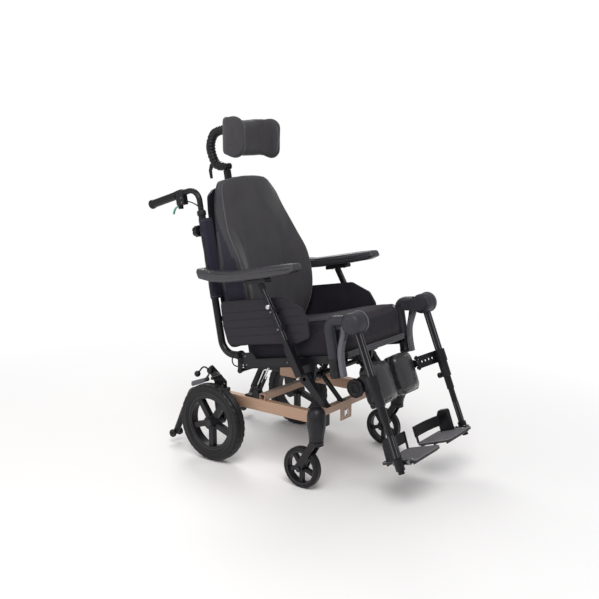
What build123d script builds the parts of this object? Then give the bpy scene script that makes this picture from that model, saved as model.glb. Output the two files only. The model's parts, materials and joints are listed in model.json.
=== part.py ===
from build123d import *
import math
import os

# Tilt in space wheelchair with a reclining back, elevating legrests and a multi-link headrest.
# Millimetres. +X is the sitter's left, -Y is the front, Z = 0 is the floor.
# The seat unit is drawn level and square, then turned about the tilt pivot by SEAT_TILT.
# Each legrest is drawn upright below its knee hinge, then turned by LEG_ANGLE as well.

# The whole drawing is moved by this much along Y, so that its middle stands over the origin.
CENTRE_SHIFT = 5

# The seat's width sets the frame's: each piece below stands at its own distance from the seat's edge.
SEAT_W = 400
SEAT_EDGE = SEAT_W / 2

# ---- rear wheels ----
REAR_WHEEL_D = 305
REAR_TYRE_W = 50
REAR_TYRE_BORE = 216
REAR_RIM_W = 34
REAR_RIM_DEPTH = 13
REAR_TRACK = SEAT_W + 146
REAR_AXLE_Y = 246
REAR_AXLE_R = 8
REAR_HUB_R = 25
REAR_HUB_W = 46
REAR_SPOKE_W = 22
HUB_CAP_R = 20
HUB_CAP_H = 5
SPOKES = 5

# ---- castors ----
CASTOR_D = 150
CASTOR_W = 28
CASTOR_TYRE_H = 13
CASTOR_RIM_H = 7
CASTOR_HUB_R = 14
CASTOR_SPOKE_W = 14
CASTOR_TRACK = SEAT_W + 160
CASTOR_STEM_Y = -254
CASTOR_TRAIL = 61
CASTOR_AXLE_R = 4
FORK_GAP = 4.5
FORK_PLATE = 6
FORK_LEG_W = 28
STEM_R = 10
STEM_L = 80
CROWN_H = 14
HOUSING_R = 27
HOUSING_BASE = 184
KNUCKLE_R = 32
KNUCKLE_BASE = 232
KNUCKLE_TOP = 300

# ---- chassis ----
BEAM_X = SEAT_EDGE + 22
BEAM_W = 28
BEAM_H = 45
BEAM_TOP = 269
BEAM_WALL = 2.5
BEAM_REAR_Y = 292
BEAM_RADIUS = 4
BEAM_PLUG = 40
CROSSBAR = 24
CROSSBAR_WALL = 2
REAR_CROSSBAR_Y = 27
AXLE_PLATE = 14
AXLE_PLATE_W = 60
AXLE_BOSS_R = 20
TIE_DOWN_X = 110
TIE_DOWN_W = 68
TIE_DOWN_H = 46
TIE_DOWN_T = 4
TIE_DOWN_HOLE_R = 11

# ---- tilt mechanism ----
SEAT_TILT = 10.5
PIVOT_Y = -165
PIVOT_Z = 380
PIVOT_R = 10
PIVOT_WALL = 3
UPRIGHT_X = SEAT_EDGE + 20
UPRIGHT_T = 24
UPRIGHT_FOOT = 26
UPRIGHT_BOSS_R = 20
STAY_X = SEAT_EDGE - 73
STAY_R = 9
STAY_EYE_R = 16
STAY_EYE_W = 20
STRUT_X = SEAT_EDGE + 15
STRUT_BASE = (65, 288)
STRUT_TOP = (-5, 440)
STRUT_R = 11
STRUT_BORE = 9.6
STRUT_L = 96
STRUT_ROD_R = 4.5
STRUT_ROD_L = 88
STRUT_PIN_R = 6
STRUT_EYE_R = 10
STRUT_EYE_W = 18
GUIDE_GAP = 36
GUIDE_R = 4
GUIDE_L = 98

# ---- running clearances ----
RUN = 0.05
SLIDE = 0.3
GAP = 0.5

# ---- seat, level ----
RAIL_X = SEAT_EDGE - 12
RAIL_W = 24
RAIL_H = 25
RAIL_WALL = 2
RAIL_TOP = 452
RAIL_FRONT = -326
RAIL_REAR = 118
SEAT_CROSS_Y = (-250, -20, 104)
PLATE_T = 4
PLATE_FRONT = -330
CUSHION_FRONT = -339
CUSHION_REAR = 112
CUSHION_TOP = 578
CUSHION_RADIUS = 14
COVER_X = SEAT_EDGE + 28
COVER_T = 3.5
COVER_FRONT = -115
COVER_REAR = 114
COVER_BASE = 426
COVER_TOP = 462
COVER_REAR_TOP = 487

# ---- armrests, level ----
POST_X = SEAT_EDGE + 47
POST_FOOT = (-163, 396)
POST_HEAD = (-44, 741)
POST_W = 16
POST_D = 20
POST_START = 25
POST_L = 368
SOCKET_WALL = 4
SOCKET_L = 112
ARM_PAD_X = POST_X + 12
ARM_PAD_W = 56
ARM_PAD_TOP = 795
ARM_PAD_BASE = 757
ARM_BAR_H = 13
ARM_BAR_Y = (-85, 5)
GUARD_X = SEAT_EDGE + 25
GUARD_T = 8
GUARD_BASE = 511

# ---- back, level ----
BACK_X = SEAT_EDGE + 15
BACK_Y = 225
BACK_R = 14
BACK_TOP = 1040
BACK_BEND = 60
RECLINE = (140, 477)
RECLINE_PIN_R = 8
RECLINE_EYE_R = 16
RECLINE_EYE_W = 20
RECLINE_CAP_R = 11
RECLINE_LUG_T = 4.5
RECLINE_TRAVEL = 30
LEVER_ARM = 64
LEVER_BAR_R = 7
BACK_BAR_R = 10
BACK_BAR_Z = (620, 960)
SHELL_BASE = 500
SHELL_TOP = 1124
SHELL_T = 11.5
BACK_CUSHION_BASE = 506
WING_BASE = 592
WING_TOP = 1050
BACK_CUSHION_TOP = 1150
BACK_CUSHION_T = 78
BACK_CUSHION_W = SEAT_W - 16
WING_X = (SEAT_EDGE - 30, SEAT_EDGE + 12)
RECLINE_STRUT_FRONT = -248
RECLINE_STRUT_R = 10
RECLINE_STRUT_L = 250
RECLINE_ROD_R = 4
RECLINE_BORE_R = 7

# ---- push handles, level ----
HANDLE_R = 11
HANDLE_FOOT = 860
HANDLE_CORNER = 1131
HANDLE_END = (489, 1107)
HANDLE_BEND = 46
GRIP_R = 15
GRIP_START = 343
GRIP_FLARE_R = 18
GRIP_FLARE = 8
LEVER_BOX_Y = (298, 340)
LEVER_BOX_Z = (1078, 1136)
LEVER_BOX_W = 28
TRIGGER = (330, 1070)
TRIGGER_PIN_R = 2.5
TRIGGER_W = 8
CABLE_R = 2.5
KNOB_Z = 968
KNOB_R = 22
KNOB_H = 20
KNOB_STEM_R = 5
KNOB_LOBES = 6

# ---- headrest, level ----
HEAD_BAR_Y = 254
HEAD_BAR_W = 28
HEAD_BAR_D = 16
HEAD_BAR_FOOT = 1015
HEAD_BASE = BACK_CUSHION_TOP + 76
HEAD_H = 150
HEAD_PIVOT = (254, HEAD_BASE - 8)
HEAD_EYE_R = 13
HEAD_EYE_W = 18
HEAD_ARM_R = 17
HEAD_CHEEK = 9
HEAD_END = (205, HEAD_BASE + HEAD_H - 14)
HEAD_ROUND = 10
HEAD_MIDDLE_Y = 107
HEAD_PAD_TURN = SEAT_TILT
CLAMP_Z = (1045, 1122)

# ---- legrests ----
HANGER_X = SEAT_EDGE + 40
HANGER_Y = -313
HANGER_R = 13
HANGER_BODY_R = 19
HANGER_FOOT = 392
HANGER_TOP = 582
RECEIVER_H = 22
RECEIVER_L = 67
LEVER_BAND_W = 18
KNEE = (-422, 570)
LEG_X = HANGER_X + 2
LEG_ANGLE = 11
KNEE_R = 35
KNEE_W = 58
KNEE_X = HANGER_X + 4
KNEE_PIN_R = 8
HANGER_PLATE = 12
LEG_R = 13.5
LEG_L = 340
LEG_BORE_START = 150
SLEEVE_R = 17
SLEEVE = (190, 290)
FOOT_R = 11
FOOT_TOP = 180
FOOT_BOTTOM = 522
CALF_ARM_H = 46
CALF_ARM_T = 5
CALF_ARM_DROP = 186
CALF_ARM_ROOT = (LEG_X - 6, 19.5)
CALF_PIN = (LEG_X - 92, 50)
CALF_PIN_R = 5
CALF_PAD = (124, 78, 146)
CALF_PAD_X = LEG_X - 160
CALF_PAD_Y = 91
CALF_PAD_DROP = 228
CALF_HOLLOW = 8
CALF_HOLLOW_R = 100
FOOT_HINGE_X = LEG_X - 22
FOOT_HINGE_DROP = 490
FOOT_PIN_R = 5
FOOT_PITCH = {"L": 2, "R": 4}
FOOT_PLATE_L = 190
FOOT_PLATE_FRONT = -50
FOOT_PLATE_REAR = 88
FOOT_PLATE_T = 9
HEEL_PANEL = (20, 64)
HEEL_PANEL_T = 8
HEEL_PANEL_H = 76
HEEL_BAND_Z = (26, 66)
HEEL_BAND_T = 4

# ---- brakes and anti-tippers ----
BRAKE_PIVOT = (REAR_AXLE_Y + 34, REAR_WHEEL_D + 40)
BRAKE_X = BEAM_X + 11
BRAKE_T = 5
BRAKE_BASE_H = 14
BRAKE_LEVER_T = 8
BRAKE_PIN_R = 5
BRAKE_SHOE = (REAR_AXLE_Y - 14, REAR_WHEEL_D + 25)
BRAKE_BALL = (REAR_AXLE_Y + 108, REAR_WHEEL_D + 14)
BRAKE_BALL_R = 9
TIP_R = 11
TIP_CORNER = 404
TIP_END = (501, 43)
TIP_WHEEL_R = 16
TIP_WHEEL_W = 13
TIP_WHEEL_GAP = 19


# ---- shapes ----
def bar(p, q, radius):
    """Round bar from p to q."""
    start = Vector(*p)
    run = Vector(*q) - start
    rod = Cylinder(radius, run.length, align=(Align.CENTER, Align.CENTER, Align.MIN))
    return Plane(origin=start, z_dir=run) * rod


def pipe(points, radius, bend):
    """Round bar along a route with rounded corners."""
    path = FilletPolyline(*points, radius=bend)
    return sweep(Plane(origin=path @ 0, z_dir=path % 0) * Circle(radius), path=path)


def block(x, y, z):
    """Box between a (low, high) pair on each axis."""
    centre = ((x[0] + x[1]) / 2, (y[0] + y[1]) / 2, (z[0] + z[1]) / 2)
    return Pos(*centre) * Box(x[1] - x[0], y[1] - y[0], z[1] - z[0])


def slab(points, x):
    """Plate with a (y, z) outline between two x values."""
    return extrude(Plane.YZ.offset(x[0]) * make_face(Polyline(*points, close=True)), x[1] - x[0])


def rounded(outline, radius):
    """The outline with its corners rounded."""
    return fillet(outline.vertices(), radius)


def rounded_slab(points, x, radius):
    """Plate with a rounded (y, z) outline between two x values."""
    face = Plane.YZ.offset(x[0]) * make_face(Polyline(*points, close=True))
    return extrude(rounded(face, radius), x[1] - x[0])


def soft_ends(shape, axis, radius):
    """Rounds the edges of both end faces along an axis."""
    ends = shape.edges().group_by(axis)
    return fillet(ends[0] + ends[-1], radius)


def disc(x, y, z, radius):
    """Cylinder along X between two x values."""
    return bar((x[0], y, z), (x[1], y, z), radius)


def span(centre, width):
    """The (low, high) pair of a width about its centre."""
    return (centre - width / 2, centre + width / 2)


def fuse(first, *others):
    """One solid from several that touch or overlap."""
    for other in others:
        first = first + other
    return first


def mirrored(shape):
    """The same piece on the sitter's right."""
    return mirror(shape, about=Plane.YZ)


def both(shape):
    """The piece and its mirror image."""
    return [shape, mirrored(shape)]


def tilted(shape):
    """Turns a level seat piece to the seat's rest tilt."""
    return shape.rotate(Axis((0, PIVOT_Y, PIVOT_Z), (1, 0, 0)), -SEAT_TILT)


def leg(shape):
    """Places a piece drawn below the knee hinge, then tilts it with the seat."""
    return tilted(Pos(0, *KNEE) * Rot(-LEG_ANGLE, 0, 0) * shape)


def foot(shape, side):
    """Places a piece drawn about the footplate hinge."""
    pitch = Rot(FOOT_PITCH[side], 0, 0)
    return leg(Pos(FOOT_HINGE_X, 0, -FOOT_HINGE_DROP) * pitch * shape)


def save(name, *solids):
    """Writes one named piece, or one group of alike pieces."""
    flat = []
    for item in solids:
        for solid in item if isinstance(item, list) else [item]:
            flat.append(Pos(0, CENTRE_SHIFT, 0) * solid)
    export_step(flat[0] if len(flat) == 1 else Compound(children=flat), f"parts/{name}.step")


def save_pair(name, make):
    """Writes the left piece and its mirror image as two nodes."""
    left = make()
    save(f"{name}_L", *left)
    save(f"{name}_R", *[mirrored(s) for s in left])


def spoked_wheel(rim_out, rim_in, rim_w, hub_r, hub_w, spoke_w, spoke_t, bore, centre):
    """Rim, spokes and hub about an X axis; one spoke points straight down."""
    rim = Cylinder(rim_out, rim_w) - Cylinder(rim_in, rim_w)
    reach = (rim_out + rim_in) / 2
    for n in range(SPOKES):
        spoke = Pos(reach / 2, 0, 0) * Box(reach, spoke_w, spoke_t)
        rim = rim + Rot(0, 0, n * 360 / SPOKES) * spoke
    rim = rim + Cylinder(hub_r, hub_w) - Cylinder(bore, hub_w + 2)
    return Pos(*centre) * Rot(0, 90, 0) * rim


def tyre(outer, inner, width, radius, centre):
    """Tyre with rounded shoulders about an X axis."""
    ring = fillet(Cylinder(outer, width).edges(), radius) - Cylinder(inner, width)
    return Pos(*centre) * Rot(0, 90, 0) * ring


# ---- chassis ----
def side_beam():
    x = span(BEAM_X, BEAM_W)
    y = (CASTOR_STEM_Y + HOUSING_R, BEAM_REAR_Y)
    outer = block(x, y, (BEAM_TOP - BEAM_H, BEAM_TOP))
    outer = fillet(outer.edges().filter_by(Axis.Y), BEAM_RADIUS)
    hollow = block(
        (x[0] + BEAM_WALL, x[1] - BEAM_WALL), y, (BEAM_TOP - BEAM_H + BEAM_WALL, BEAM_TOP - BEAM_WALL)
    )
    plug = hollow & block(x, (BEAM_REAR_Y - BEAM_PLUG, BEAM_REAR_Y), (0, BEAM_TOP))
    bore = bar((BEAM_X, y[0], beam_mid()), (BEAM_X, BEAM_REAR_Y, beam_mid()), TIP_R + RUN)
    return [outer - hollow, plug - bore]


def beam_mid():
    return BEAM_TOP - BEAM_H / 2


def box_tube(x, y, z, wall):
    """Square tube along X."""
    inner = block(x, (y[0] + wall, y[1] - wall), (z[0] + wall, z[1] - wall))
    return block(x, y, z) - inner


def knuckle_centre():
    return (CASTOR_TRACK / 2, CASTOR_STEM_Y)


def knuckle():
    x, y = knuckle_centre()
    return bar((x, y, KNUCKLE_BASE), (x, y, KNUCKLE_TOP), KNUCKLE_R)


def front_bar_z():
    return (BEAM_TOP, BEAM_TOP + CROSSBAR)


def crossbars():
    rear_x = (-BEAM_X - BEAM_W / 2, BEAM_X + BEAM_W / 2)
    rear = box_tube(rear_x, span(REAR_CROSSBAR_Y, CROSSBAR), (BEAM_TOP, BEAM_TOP + CROSSBAR), CROSSBAR_WALL)
    front_x = (-CASTOR_TRACK / 2 + 20, CASTOR_TRACK / 2 - 20)
    front = box_tube(front_x, span(CASTOR_STEM_Y, CROSSBAR), front_bar_z(), CROSSBAR_WALL)
    front = front - knuckle() - mirrored(knuckle())
    pieces = [rear, front]
    for x in (-TIE_DOWN_X, TIE_DOWN_X):
        top = front_bar_z()[0]
        y = (CASTOR_STEM_Y - CROSSBAR / 2, CASTOR_STEM_Y - CROSSBAR / 2 + TIE_DOWN_T)
        plate = block(span(x, TIE_DOWN_W), y, (top - TIE_DOWN_H, top))
        z = top - TIE_DOWN_H / 2
        pieces.append(plate - bar((x, y[0], z), (x, y[1], z), TIE_DOWN_HOLE_R))
    return pieces


def castor_housing():
    x, y = knuckle_centre()
    lower = bar((x, y, HOUSING_BASE), (x, y, KNUCKLE_BASE + 4), HOUSING_R)
    upper = fillet(knuckle().edges(), 7)
    lug_y = (CASTOR_STEM_Y - 8, CASTOR_STEM_Y + HOUSING_R)
    lug = block((BEAM_X - BEAM_W / 2, x), lug_y, (BEAM_TOP - BEAM_H, BEAM_TOP))
    bore = bar((x, y, HOUSING_BASE), (x, y, HOUSING_BASE + STEM_L + GAP), STEM_R + RUN)
    return [fuse(lower, upper, lug) - bore]


def tilt_uprights():
    top = front_bar_z()[1]
    x = span(UPRIGHT_X, UPRIGHT_T)
    back = CASTOR_STEM_Y - CROSSBAR / 2
    web = [(back, top), (back + UPRIGHT_FOOT, top), (PIVOT_Y + 13, PIVOT_Z - 12), (PIVOT_Y - 13, PIVOT_Z + 12)]
    tube = disc((-x[1], x[1]), PIVOT_Y, PIVOT_Z, PIVOT_R)
    upright = slab(web, x) + disc(x, PIVOT_Y, PIVOT_Z, UPRIGHT_BOSS_R) - tube
    foot_pad = block(span(STAY_X, STAY_EYE_W), span(CASTOR_STEM_Y, CROSSBAR), (top, top + 6))
    rod = bar((STAY_X, CASTOR_STEM_Y + 3, top + 2), (STAY_X, PIVOT_Y, PIVOT_Z), STAY_R)
    eye = disc(span(STAY_X, STAY_EYE_W), PIVOT_Y, PIVOT_Z, STAY_EYE_R)
    below = block(span(STAY_X, 60), (PIVOT_Y - 200, PIVOT_Y), (0, top))
    stay = fuse(rod - below, foot_pad, eye) - tube
    hollow = disc((-x[1], x[1]), PIVOT_Y, PIVOT_Z, PIVOT_R - PIVOT_WALL)
    return [*both(upright), *both(stay), tube - hollow]


def axle_bracket():
    x = (BEAM_X - AXLE_PLATE / 2, BEAM_X + AXLE_PLATE / 2)
    base = BEAM_TOP - BEAM_H
    z = REAR_WHEEL_D / 2
    half = AXLE_PLATE_W / 2
    outline = [
        (REAR_AXLE_Y - half, base),
        (REAR_AXLE_Y + half, base),
        (REAR_AXLE_Y + AXLE_BOSS_R, z),
        (REAR_AXLE_Y - AXLE_BOSS_R, z),
    ]
    hub_in = REAR_TRACK / 2 - REAR_HUB_W / 2
    boss = disc((x[0], hub_in - GAP), REAR_AXLE_Y, z, AXLE_BOSS_R)
    pin = disc((hub_in - GAP, REAR_TRACK / 2 + REAR_HUB_W / 2 - 2), REAR_AXLE_Y, z, REAR_AXLE_R)
    return [fuse(slab(outline, x), boss, pin)]


def strut_foot():
    y, z = STRUT_BASE
    x = span(STRUT_X, STRUT_EYE_W + 10)
    base = block(x, (y - 23, y + GUIDE_GAP + 16), (BEAM_TOP, BEAM_TOP + 7))
    outline = [(y - 20, BEAM_TOP + 6), (y + 20, BEAM_TOP + 6), (y + 10, z + 10), (y - 10, z + 10)]
    foot_body = base
    for side in (x[0], x[1] - 4.5):
        foot_body = foot_body + slab(outline, (side, side + 4.5))
    return [foot_body + disc(x, y, z, STRUT_PIN_R)]


def parking_brake_body():
    x = span(BRAKE_X, BRAKE_T)
    y, z = BRAKE_PIVOT
    outline = [
        (y - 74, BEAM_TOP),
        (y - 74, BEAM_TOP + 42),
        (y - 20, z + 6),
        (y, z + 20),
        (y + 16, z + 10),
        (y + 12, z - 15),
        (y - 12, BEAM_TOP + 31),
        (y - 14, BEAM_TOP),
    ]
    base = block((BEAM_X - BEAM_W / 2 + 4, x[1]), (y - 74, y - 14), (BEAM_TOP, BEAM_TOP + BRAKE_BASE_H))
    pin = disc((x[1], x[1] + GAP + BRAKE_LEVER_T + 3), y, z, BRAKE_PIN_R)
    return [fuse(rounded_slab(outline, x, 5), base, pin)]


def parking_brake_lever():
    inner = BRAKE_X + BRAKE_T / 2 + GAP
    x = (inner, inner + BRAKE_LEVER_T)
    y, z = BRAKE_PIVOT
    hub = disc(x, y, z, 11) - disc((x[0] - 1, x[1] + 1), y, z, BRAKE_PIN_R + RUN)
    shoe_y, shoe_z = BRAKE_SHOE
    run = math.hypot(shoe_y - y, shoe_z - z)
    uy, uz = (shoe_y - y) / run, (shoe_z - z) / run
    web = [
        (y + 9 * uy - 6 * uz, z + 9 * uz + 6 * uy),
        (shoe_y - 6 * uz, shoe_z + 6 * uy),
        (shoe_y + 6 * uz, shoe_z - 6 * uy),
        (y + 9 * uy + 6 * uz, z + 9 * uz - 6 * uy),
    ]
    shoe = disc((x[0], REAR_TRACK / 2 + 15), shoe_y, shoe_z, 6)
    mid = (x[0] + x[1]) / 2
    by, bz = BRAKE_BALL
    wire = pipe([(mid, y + 9, z - 2), (mid, y + 38, z + 14), (mid, by, bz)], 3.2, 24)
    ball = Pos(mid, by, bz) * Sphere(BRAKE_BALL_R)
    pedal = slab([(y + 6, z - 9), (y + 34, z - 42), (y + 102, z - 66), (y + 102, z - 74), (y + 28, z - 50)], x)
    tread = slab([(y + 30, z - 38), (y + 104, z - 64), (y + 104, z - 76), (y + 28, z - 50)], (x[0] - 16, x[0]))
    lever = fuse(hub, slab(web, x), shoe, wire, ball, pedal)
    return [lever, tread]


def anti_tipper():
    z = beam_mid()
    end_y, end_z = TIP_END
    route = [(BEAM_X, BEAM_REAR_Y - BEAM_PLUG + 2, z), (BEAM_X, TIP_CORNER, z), (BEAM_X, end_y, end_z)]
    run = math.hypot(end_y - TIP_CORNER, end_z - z)
    share = 0.45
    join = (BEAM_X, TIP_CORNER + share * (end_y - TIP_CORNER), z + share * (end_z - z))
    axle = disc(span(BEAM_X, 2 * TIP_WHEEL_GAP + TIP_WHEEL_W + 6), end_y, end_z, 4)
    clear = disc(span(BEAM_X, 2 * TIP_WHEEL_GAP - TIP_WHEEL_W - 2), end_y, end_z, 13)
    sleeve = bar(join, (BEAM_X, end_y, end_z), 13) & bar(join, (BEAM_X, end_y, end_z), run)
    tube = fuse(pipe(route, TIP_R, 44), sleeve, clear, axle)
    pieces = [tube]
    for x in (-TIP_WHEEL_GAP, TIP_WHEEL_GAP):
        wheel = disc(span(BEAM_X + x, TIP_WHEEL_W), end_y, end_z, TIP_WHEEL_R)
        pieces.append(fillet(wheel.edges(), 3) - axle)
    return pieces


# ---- wheels ----
def rear_wheel_centre():
    return (REAR_TRACK / 2, REAR_AXLE_Y, REAR_WHEEL_D / 2)


def rear_tyre():
    return [tyre(REAR_WHEEL_D / 2, REAR_TYRE_BORE / 2, REAR_TYRE_W, 19, rear_wheel_centre())]


def rear_rim():
    out = REAR_TYRE_BORE / 2
    centre = rear_wheel_centre()
    wheel = spoked_wheel(
        out, out - REAR_RIM_DEPTH, REAR_RIM_W, REAR_HUB_R, REAR_HUB_W,
        REAR_SPOKE_W, REAR_RIM_W - 12, REAR_AXLE_R + RUN, centre,
    )
    hub_out = centre[0] + REAR_HUB_W / 2
    cap = disc((hub_out, hub_out + HUB_CAP_H), centre[1], centre[2], HUB_CAP_R)
    return [wheel, cap]


def castor_centre():
    return (CASTOR_TRACK / 2, CASTOR_STEM_Y + CASTOR_TRAIL, CASTOR_D / 2)


def castor_wheel():
    centre = castor_centre()
    tyre_in = CASTOR_D / 2 - CASTOR_TYRE_H
    rubber = tyre(CASTOR_D / 2, tyre_in, CASTOR_W, 7, centre)
    wheel = spoked_wheel(
        tyre_in, tyre_in - CASTOR_RIM_H, CASTOR_W - 4, CASTOR_HUB_R, CASTOR_W,
        CASTOR_SPOKE_W, CASTOR_W - 12, CASTOR_AXLE_R + RUN, centre,
    )
    return [rubber, wheel]


def castor_fork():
    x, y, z = castor_centre()
    top = HOUSING_BASE - GAP
    crown_base = top - CROWN_H
    inner = CASTOR_W / 2 + FORK_GAP
    half = FORK_LEG_W / 2
    crown = bar((x, CASTOR_STEM_Y, crown_base), (x, CASTOR_STEM_Y, top), HOUSING_R - 1)
    crown = crown & block(span(x, 2 * (inner + FORK_PLATE)), span(CASTOR_STEM_Y, 99), (crown_base, top))
    outline = [
        (CASTOR_STEM_Y - half, top - 3),
        (CASTOR_STEM_Y + half, top - 3),
        (y + half, z + 12),
        (y + half, z - 2),
        (y - half + 4, z - 6),
    ]
    fork = crown
    for side in (-1, 1):
        ends = sorted((x + side * inner, x + side * (inner + FORK_PLATE)))
        fork = fork + slab(outline, ends) + disc(ends, y, z, half)
    stem = bar((x, CASTOR_STEM_Y, top - 2), (x, CASTOR_STEM_Y, top + STEM_L), STEM_R)
    outer = inner + FORK_PLATE
    axle = disc((x - outer - 4, x + outer + 4), y, z, CASTOR_AXLE_R)
    heads = disc((x - outer - 4, x - outer), y, z, 8) + disc((x + outer, x + outer + 4), y, z, 8)
    return [fork + stem - axle, axle + heads]


# ---- tilt struts ----
def strut_frame():
    """Base point, unit direction and length of the strut at the rest tilt."""
    turn = math.radians(SEAT_TILT)
    dy, dz = STRUT_TOP[0] - PIVOT_Y, STRUT_TOP[1] - PIVOT_Z
    top_y = PIVOT_Y + dy * math.cos(turn) + dz * math.sin(turn)
    top_z = PIVOT_Z - dy * math.sin(turn) + dz * math.cos(turn)
    run = math.hypot(top_y - STRUT_BASE[0], top_z - STRUT_BASE[1])
    return (top_y, top_z), ((top_y - STRUT_BASE[0]) / run, (top_z - STRUT_BASE[1]) / run), run


def along_strut(distance, offset=0):
    """Point beside the strut, at a distance from its base and an offset to the rear."""
    (uy, uz) = strut_frame()[1]
    y = STRUT_BASE[0] + distance * uy + offset * uz
    z = STRUT_BASE[1] + distance * uz - offset * uy
    return (STRUT_X, y, z)


def tilt_cylinder():
    x = span(STRUT_X, STRUT_EYE_W)
    y, z = STRUT_BASE
    eye = disc(x, y, z, STRUT_EYE_R)
    body = bar(along_strut(0), along_strut(STRUT_L), STRUT_R)
    bore = bar(along_strut(20), along_strut(STRUT_L + 1), STRUT_BORE)
    link = bar(along_strut(8), along_strut(8, GUIDE_GAP), 5)
    guide = bar(along_strut(2, GUIDE_GAP), along_strut(GUIDE_L, GUIDE_GAP), GUIDE_R)
    pin = disc((x[0] - 1, x[1] + 1), y, z, STRUT_PIN_R + RUN)
    trim = block(x, (y - 40, y + 80), (z - 40, z + 160))
    return [((eye + body + link + guide) & trim) - bore - pin]


def tilt_rod():
    (top_y, top_z), _, run = strut_frame()
    x = span(STRUT_X, STRUT_EYE_W)
    eye = disc(x, top_y, top_z, STRUT_EYE_R)
    rod = bar(along_strut(run - STRUT_ROD_L), along_strut(run), STRUT_ROD_R)
    pin = disc((x[0] - 1, x[1] + 1), top_y, top_z, STRUT_PIN_R + RUN)
    return [eye + rod - pin]


# ---- seat ----
def seat_frame():
    base = RAIL_TOP - RAIL_H
    x = span(RAIL_X, RAIL_W)
    rail = block(x, (RAIL_FRONT, RAIL_REAR), (base, RAIL_TOP)) - block(
        (x[0] + RAIL_WALL, x[1] - RAIL_WALL), (RAIL_FRONT, RAIL_REAR), (base + RAIL_WALL, RAIL_TOP - RAIL_WALL)
    )
    crosses = []
    for y in SEAT_CROSS_Y:
        crosses.append(box_tube((-x[0], x[0]), span(y, CROSSBAR), (base, RAIL_TOP), RAIL_WALL))
    tube = disc((x[0] - 1, x[1] + 1), PIVOT_Y, PIVOT_Z, PIVOT_R + RUN)
    ear = [(PIVOT_Y - 34, base), (PIVOT_Y + 34, base), (PIVOT_Y + 18, PIVOT_Z - 8), (PIVOT_Y - 18, PIVOT_Z - 8)]
    ear = slab(ear, (x[1] - 14, x[1])) + disc((x[1] - 14, x[1]), PIVOT_Y, PIVOT_Z, UPRIGHT_BOSS_R) - tube
    foot_z = RAIL_TOP - RECEIVER_L
    receiver = block((x[1], HANGER_X), (RAIL_FRONT, HANGER_Y + 14), (RAIL_TOP - RECEIVER_H, RAIL_TOP))
    receiver = receiver + bar((HANGER_X, HANGER_Y, foot_z), (HANGER_X, HANGER_Y, RAIL_TOP), HANGER_BODY_R)
    receiver = receiver - bar((HANGER_X, HANGER_Y, foot_z), (HANGER_X, HANGER_Y, RAIL_TOP), HANGER_R + RUN)
    y, z = RECLINE
    plate = [(y - 50, base), (RAIL_REAR, base), (y + 8, z - 14), (y + 8, z + 8), (y - 14, z + 8)]
    lug_x = (x[1], x[1] + RECLINE_LUG_T)
    lug = slab(plate, lug_x) + disc(lug_x, y, z, RECLINE_EYE_R - 1)
    lug = lug + disc((lug_x[1], recline_cap()[0]), y, z, RECLINE_PIN_R) + disc(recline_cap(), y, z, RECLINE_CAP_R)
    strut_pin = disc((x[1], STRUT_X + STRUT_EYE_W / 2 + 2), *STRUT_TOP, STRUT_PIN_R)
    post_y = POST_FOOT[0] + 14
    arm = block((x[1], POST_X - POST_W / 2 - SOCKET_WALL), span(post_y, 28), (base, RAIL_TOP)) - armrest_hole()
    low = recline_axis_z() - RECLINE_STRUT_R - 4
    strut_lug = block((-15, 15), span(RECLINE_STRUT_FRONT, CROSSBAR), (low, base)) - recline_barrel()
    side = fuse(rail, ear, receiver, lug, strut_pin, arm)
    return [*both(side), *crosses, strut_lug]


def post_axis():
    dy, dz = POST_HEAD[0] - POST_FOOT[0], POST_HEAD[1] - POST_FOOT[1]
    run = math.hypot(dy, dz)
    return dy / run, dz / run


def post_box(width, depth, start, end):
    """Square bar along the armrest post's own axis."""
    uy, uz = post_axis()
    origin = Vector(POST_X, POST_FOOT[0] + start * uy, POST_FOOT[1] + start * uz)
    shape = Box(width, depth, end - start, align=(Align.CENTER, Align.CENTER, Align.MIN))
    return Plane(origin=origin, x_dir=(1, 0, 0), z_dir=(0, uy, uz)) * shape


def armrest_hole():
    return post_box(POST_W + 2 * SOCKET_WALL, POST_D + 2 * SOCKET_WALL, 0, SOCKET_L)


def armrest_socket():
    return [armrest_hole() - post_box(POST_W + 2 * SLIDE, POST_D + 2 * SLIDE, 0, SOCKET_L)]


def recline_cap():
    """The (low, high) x pair of the cap that keeps the back on its pin."""
    return (BACK_X + RECLINE_EYE_W / 2 + 2, COVER_X + COVER_T + 2 * CABLE_R)


def recline_barrel():
    z = recline_axis_z()
    front = RECLINE_STRUT_FRONT - 4
    return bar((0, front, z), (0, front + RECLINE_STRUT_L, z), RECLINE_STRUT_R)


def recline_axis_z():
    return RECLINE[1] - LEVER_ARM * math.cos(math.radians(RECLINE_TRAVEL / 2))


def seat_plate():
    return block(span(0, SEAT_W), (PLATE_FRONT, RAIL_REAR), (RAIL_TOP, RAIL_TOP + PLATE_T))


def seat_cushion():
    base = RAIL_TOP + PLATE_T
    outline = [
        (CUSHION_REAR, base),
        (CUSHION_REAR, CUSHION_TOP - 14),
        (-60, CUSHION_TOP - 10),
        (-230, CUSHION_TOP + 4),
        (-318, CUSHION_TOP + 2),
        (CUSHION_FRONT, CUSHION_TOP - 28),
        (CUSHION_FRONT + 12, base),
    ]
    body = rounded_slab(outline, span(0, SEAT_W), CUSHION_RADIUS)
    return soft_ends(body, Axis.X, CUSHION_RADIUS - 2)


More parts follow.
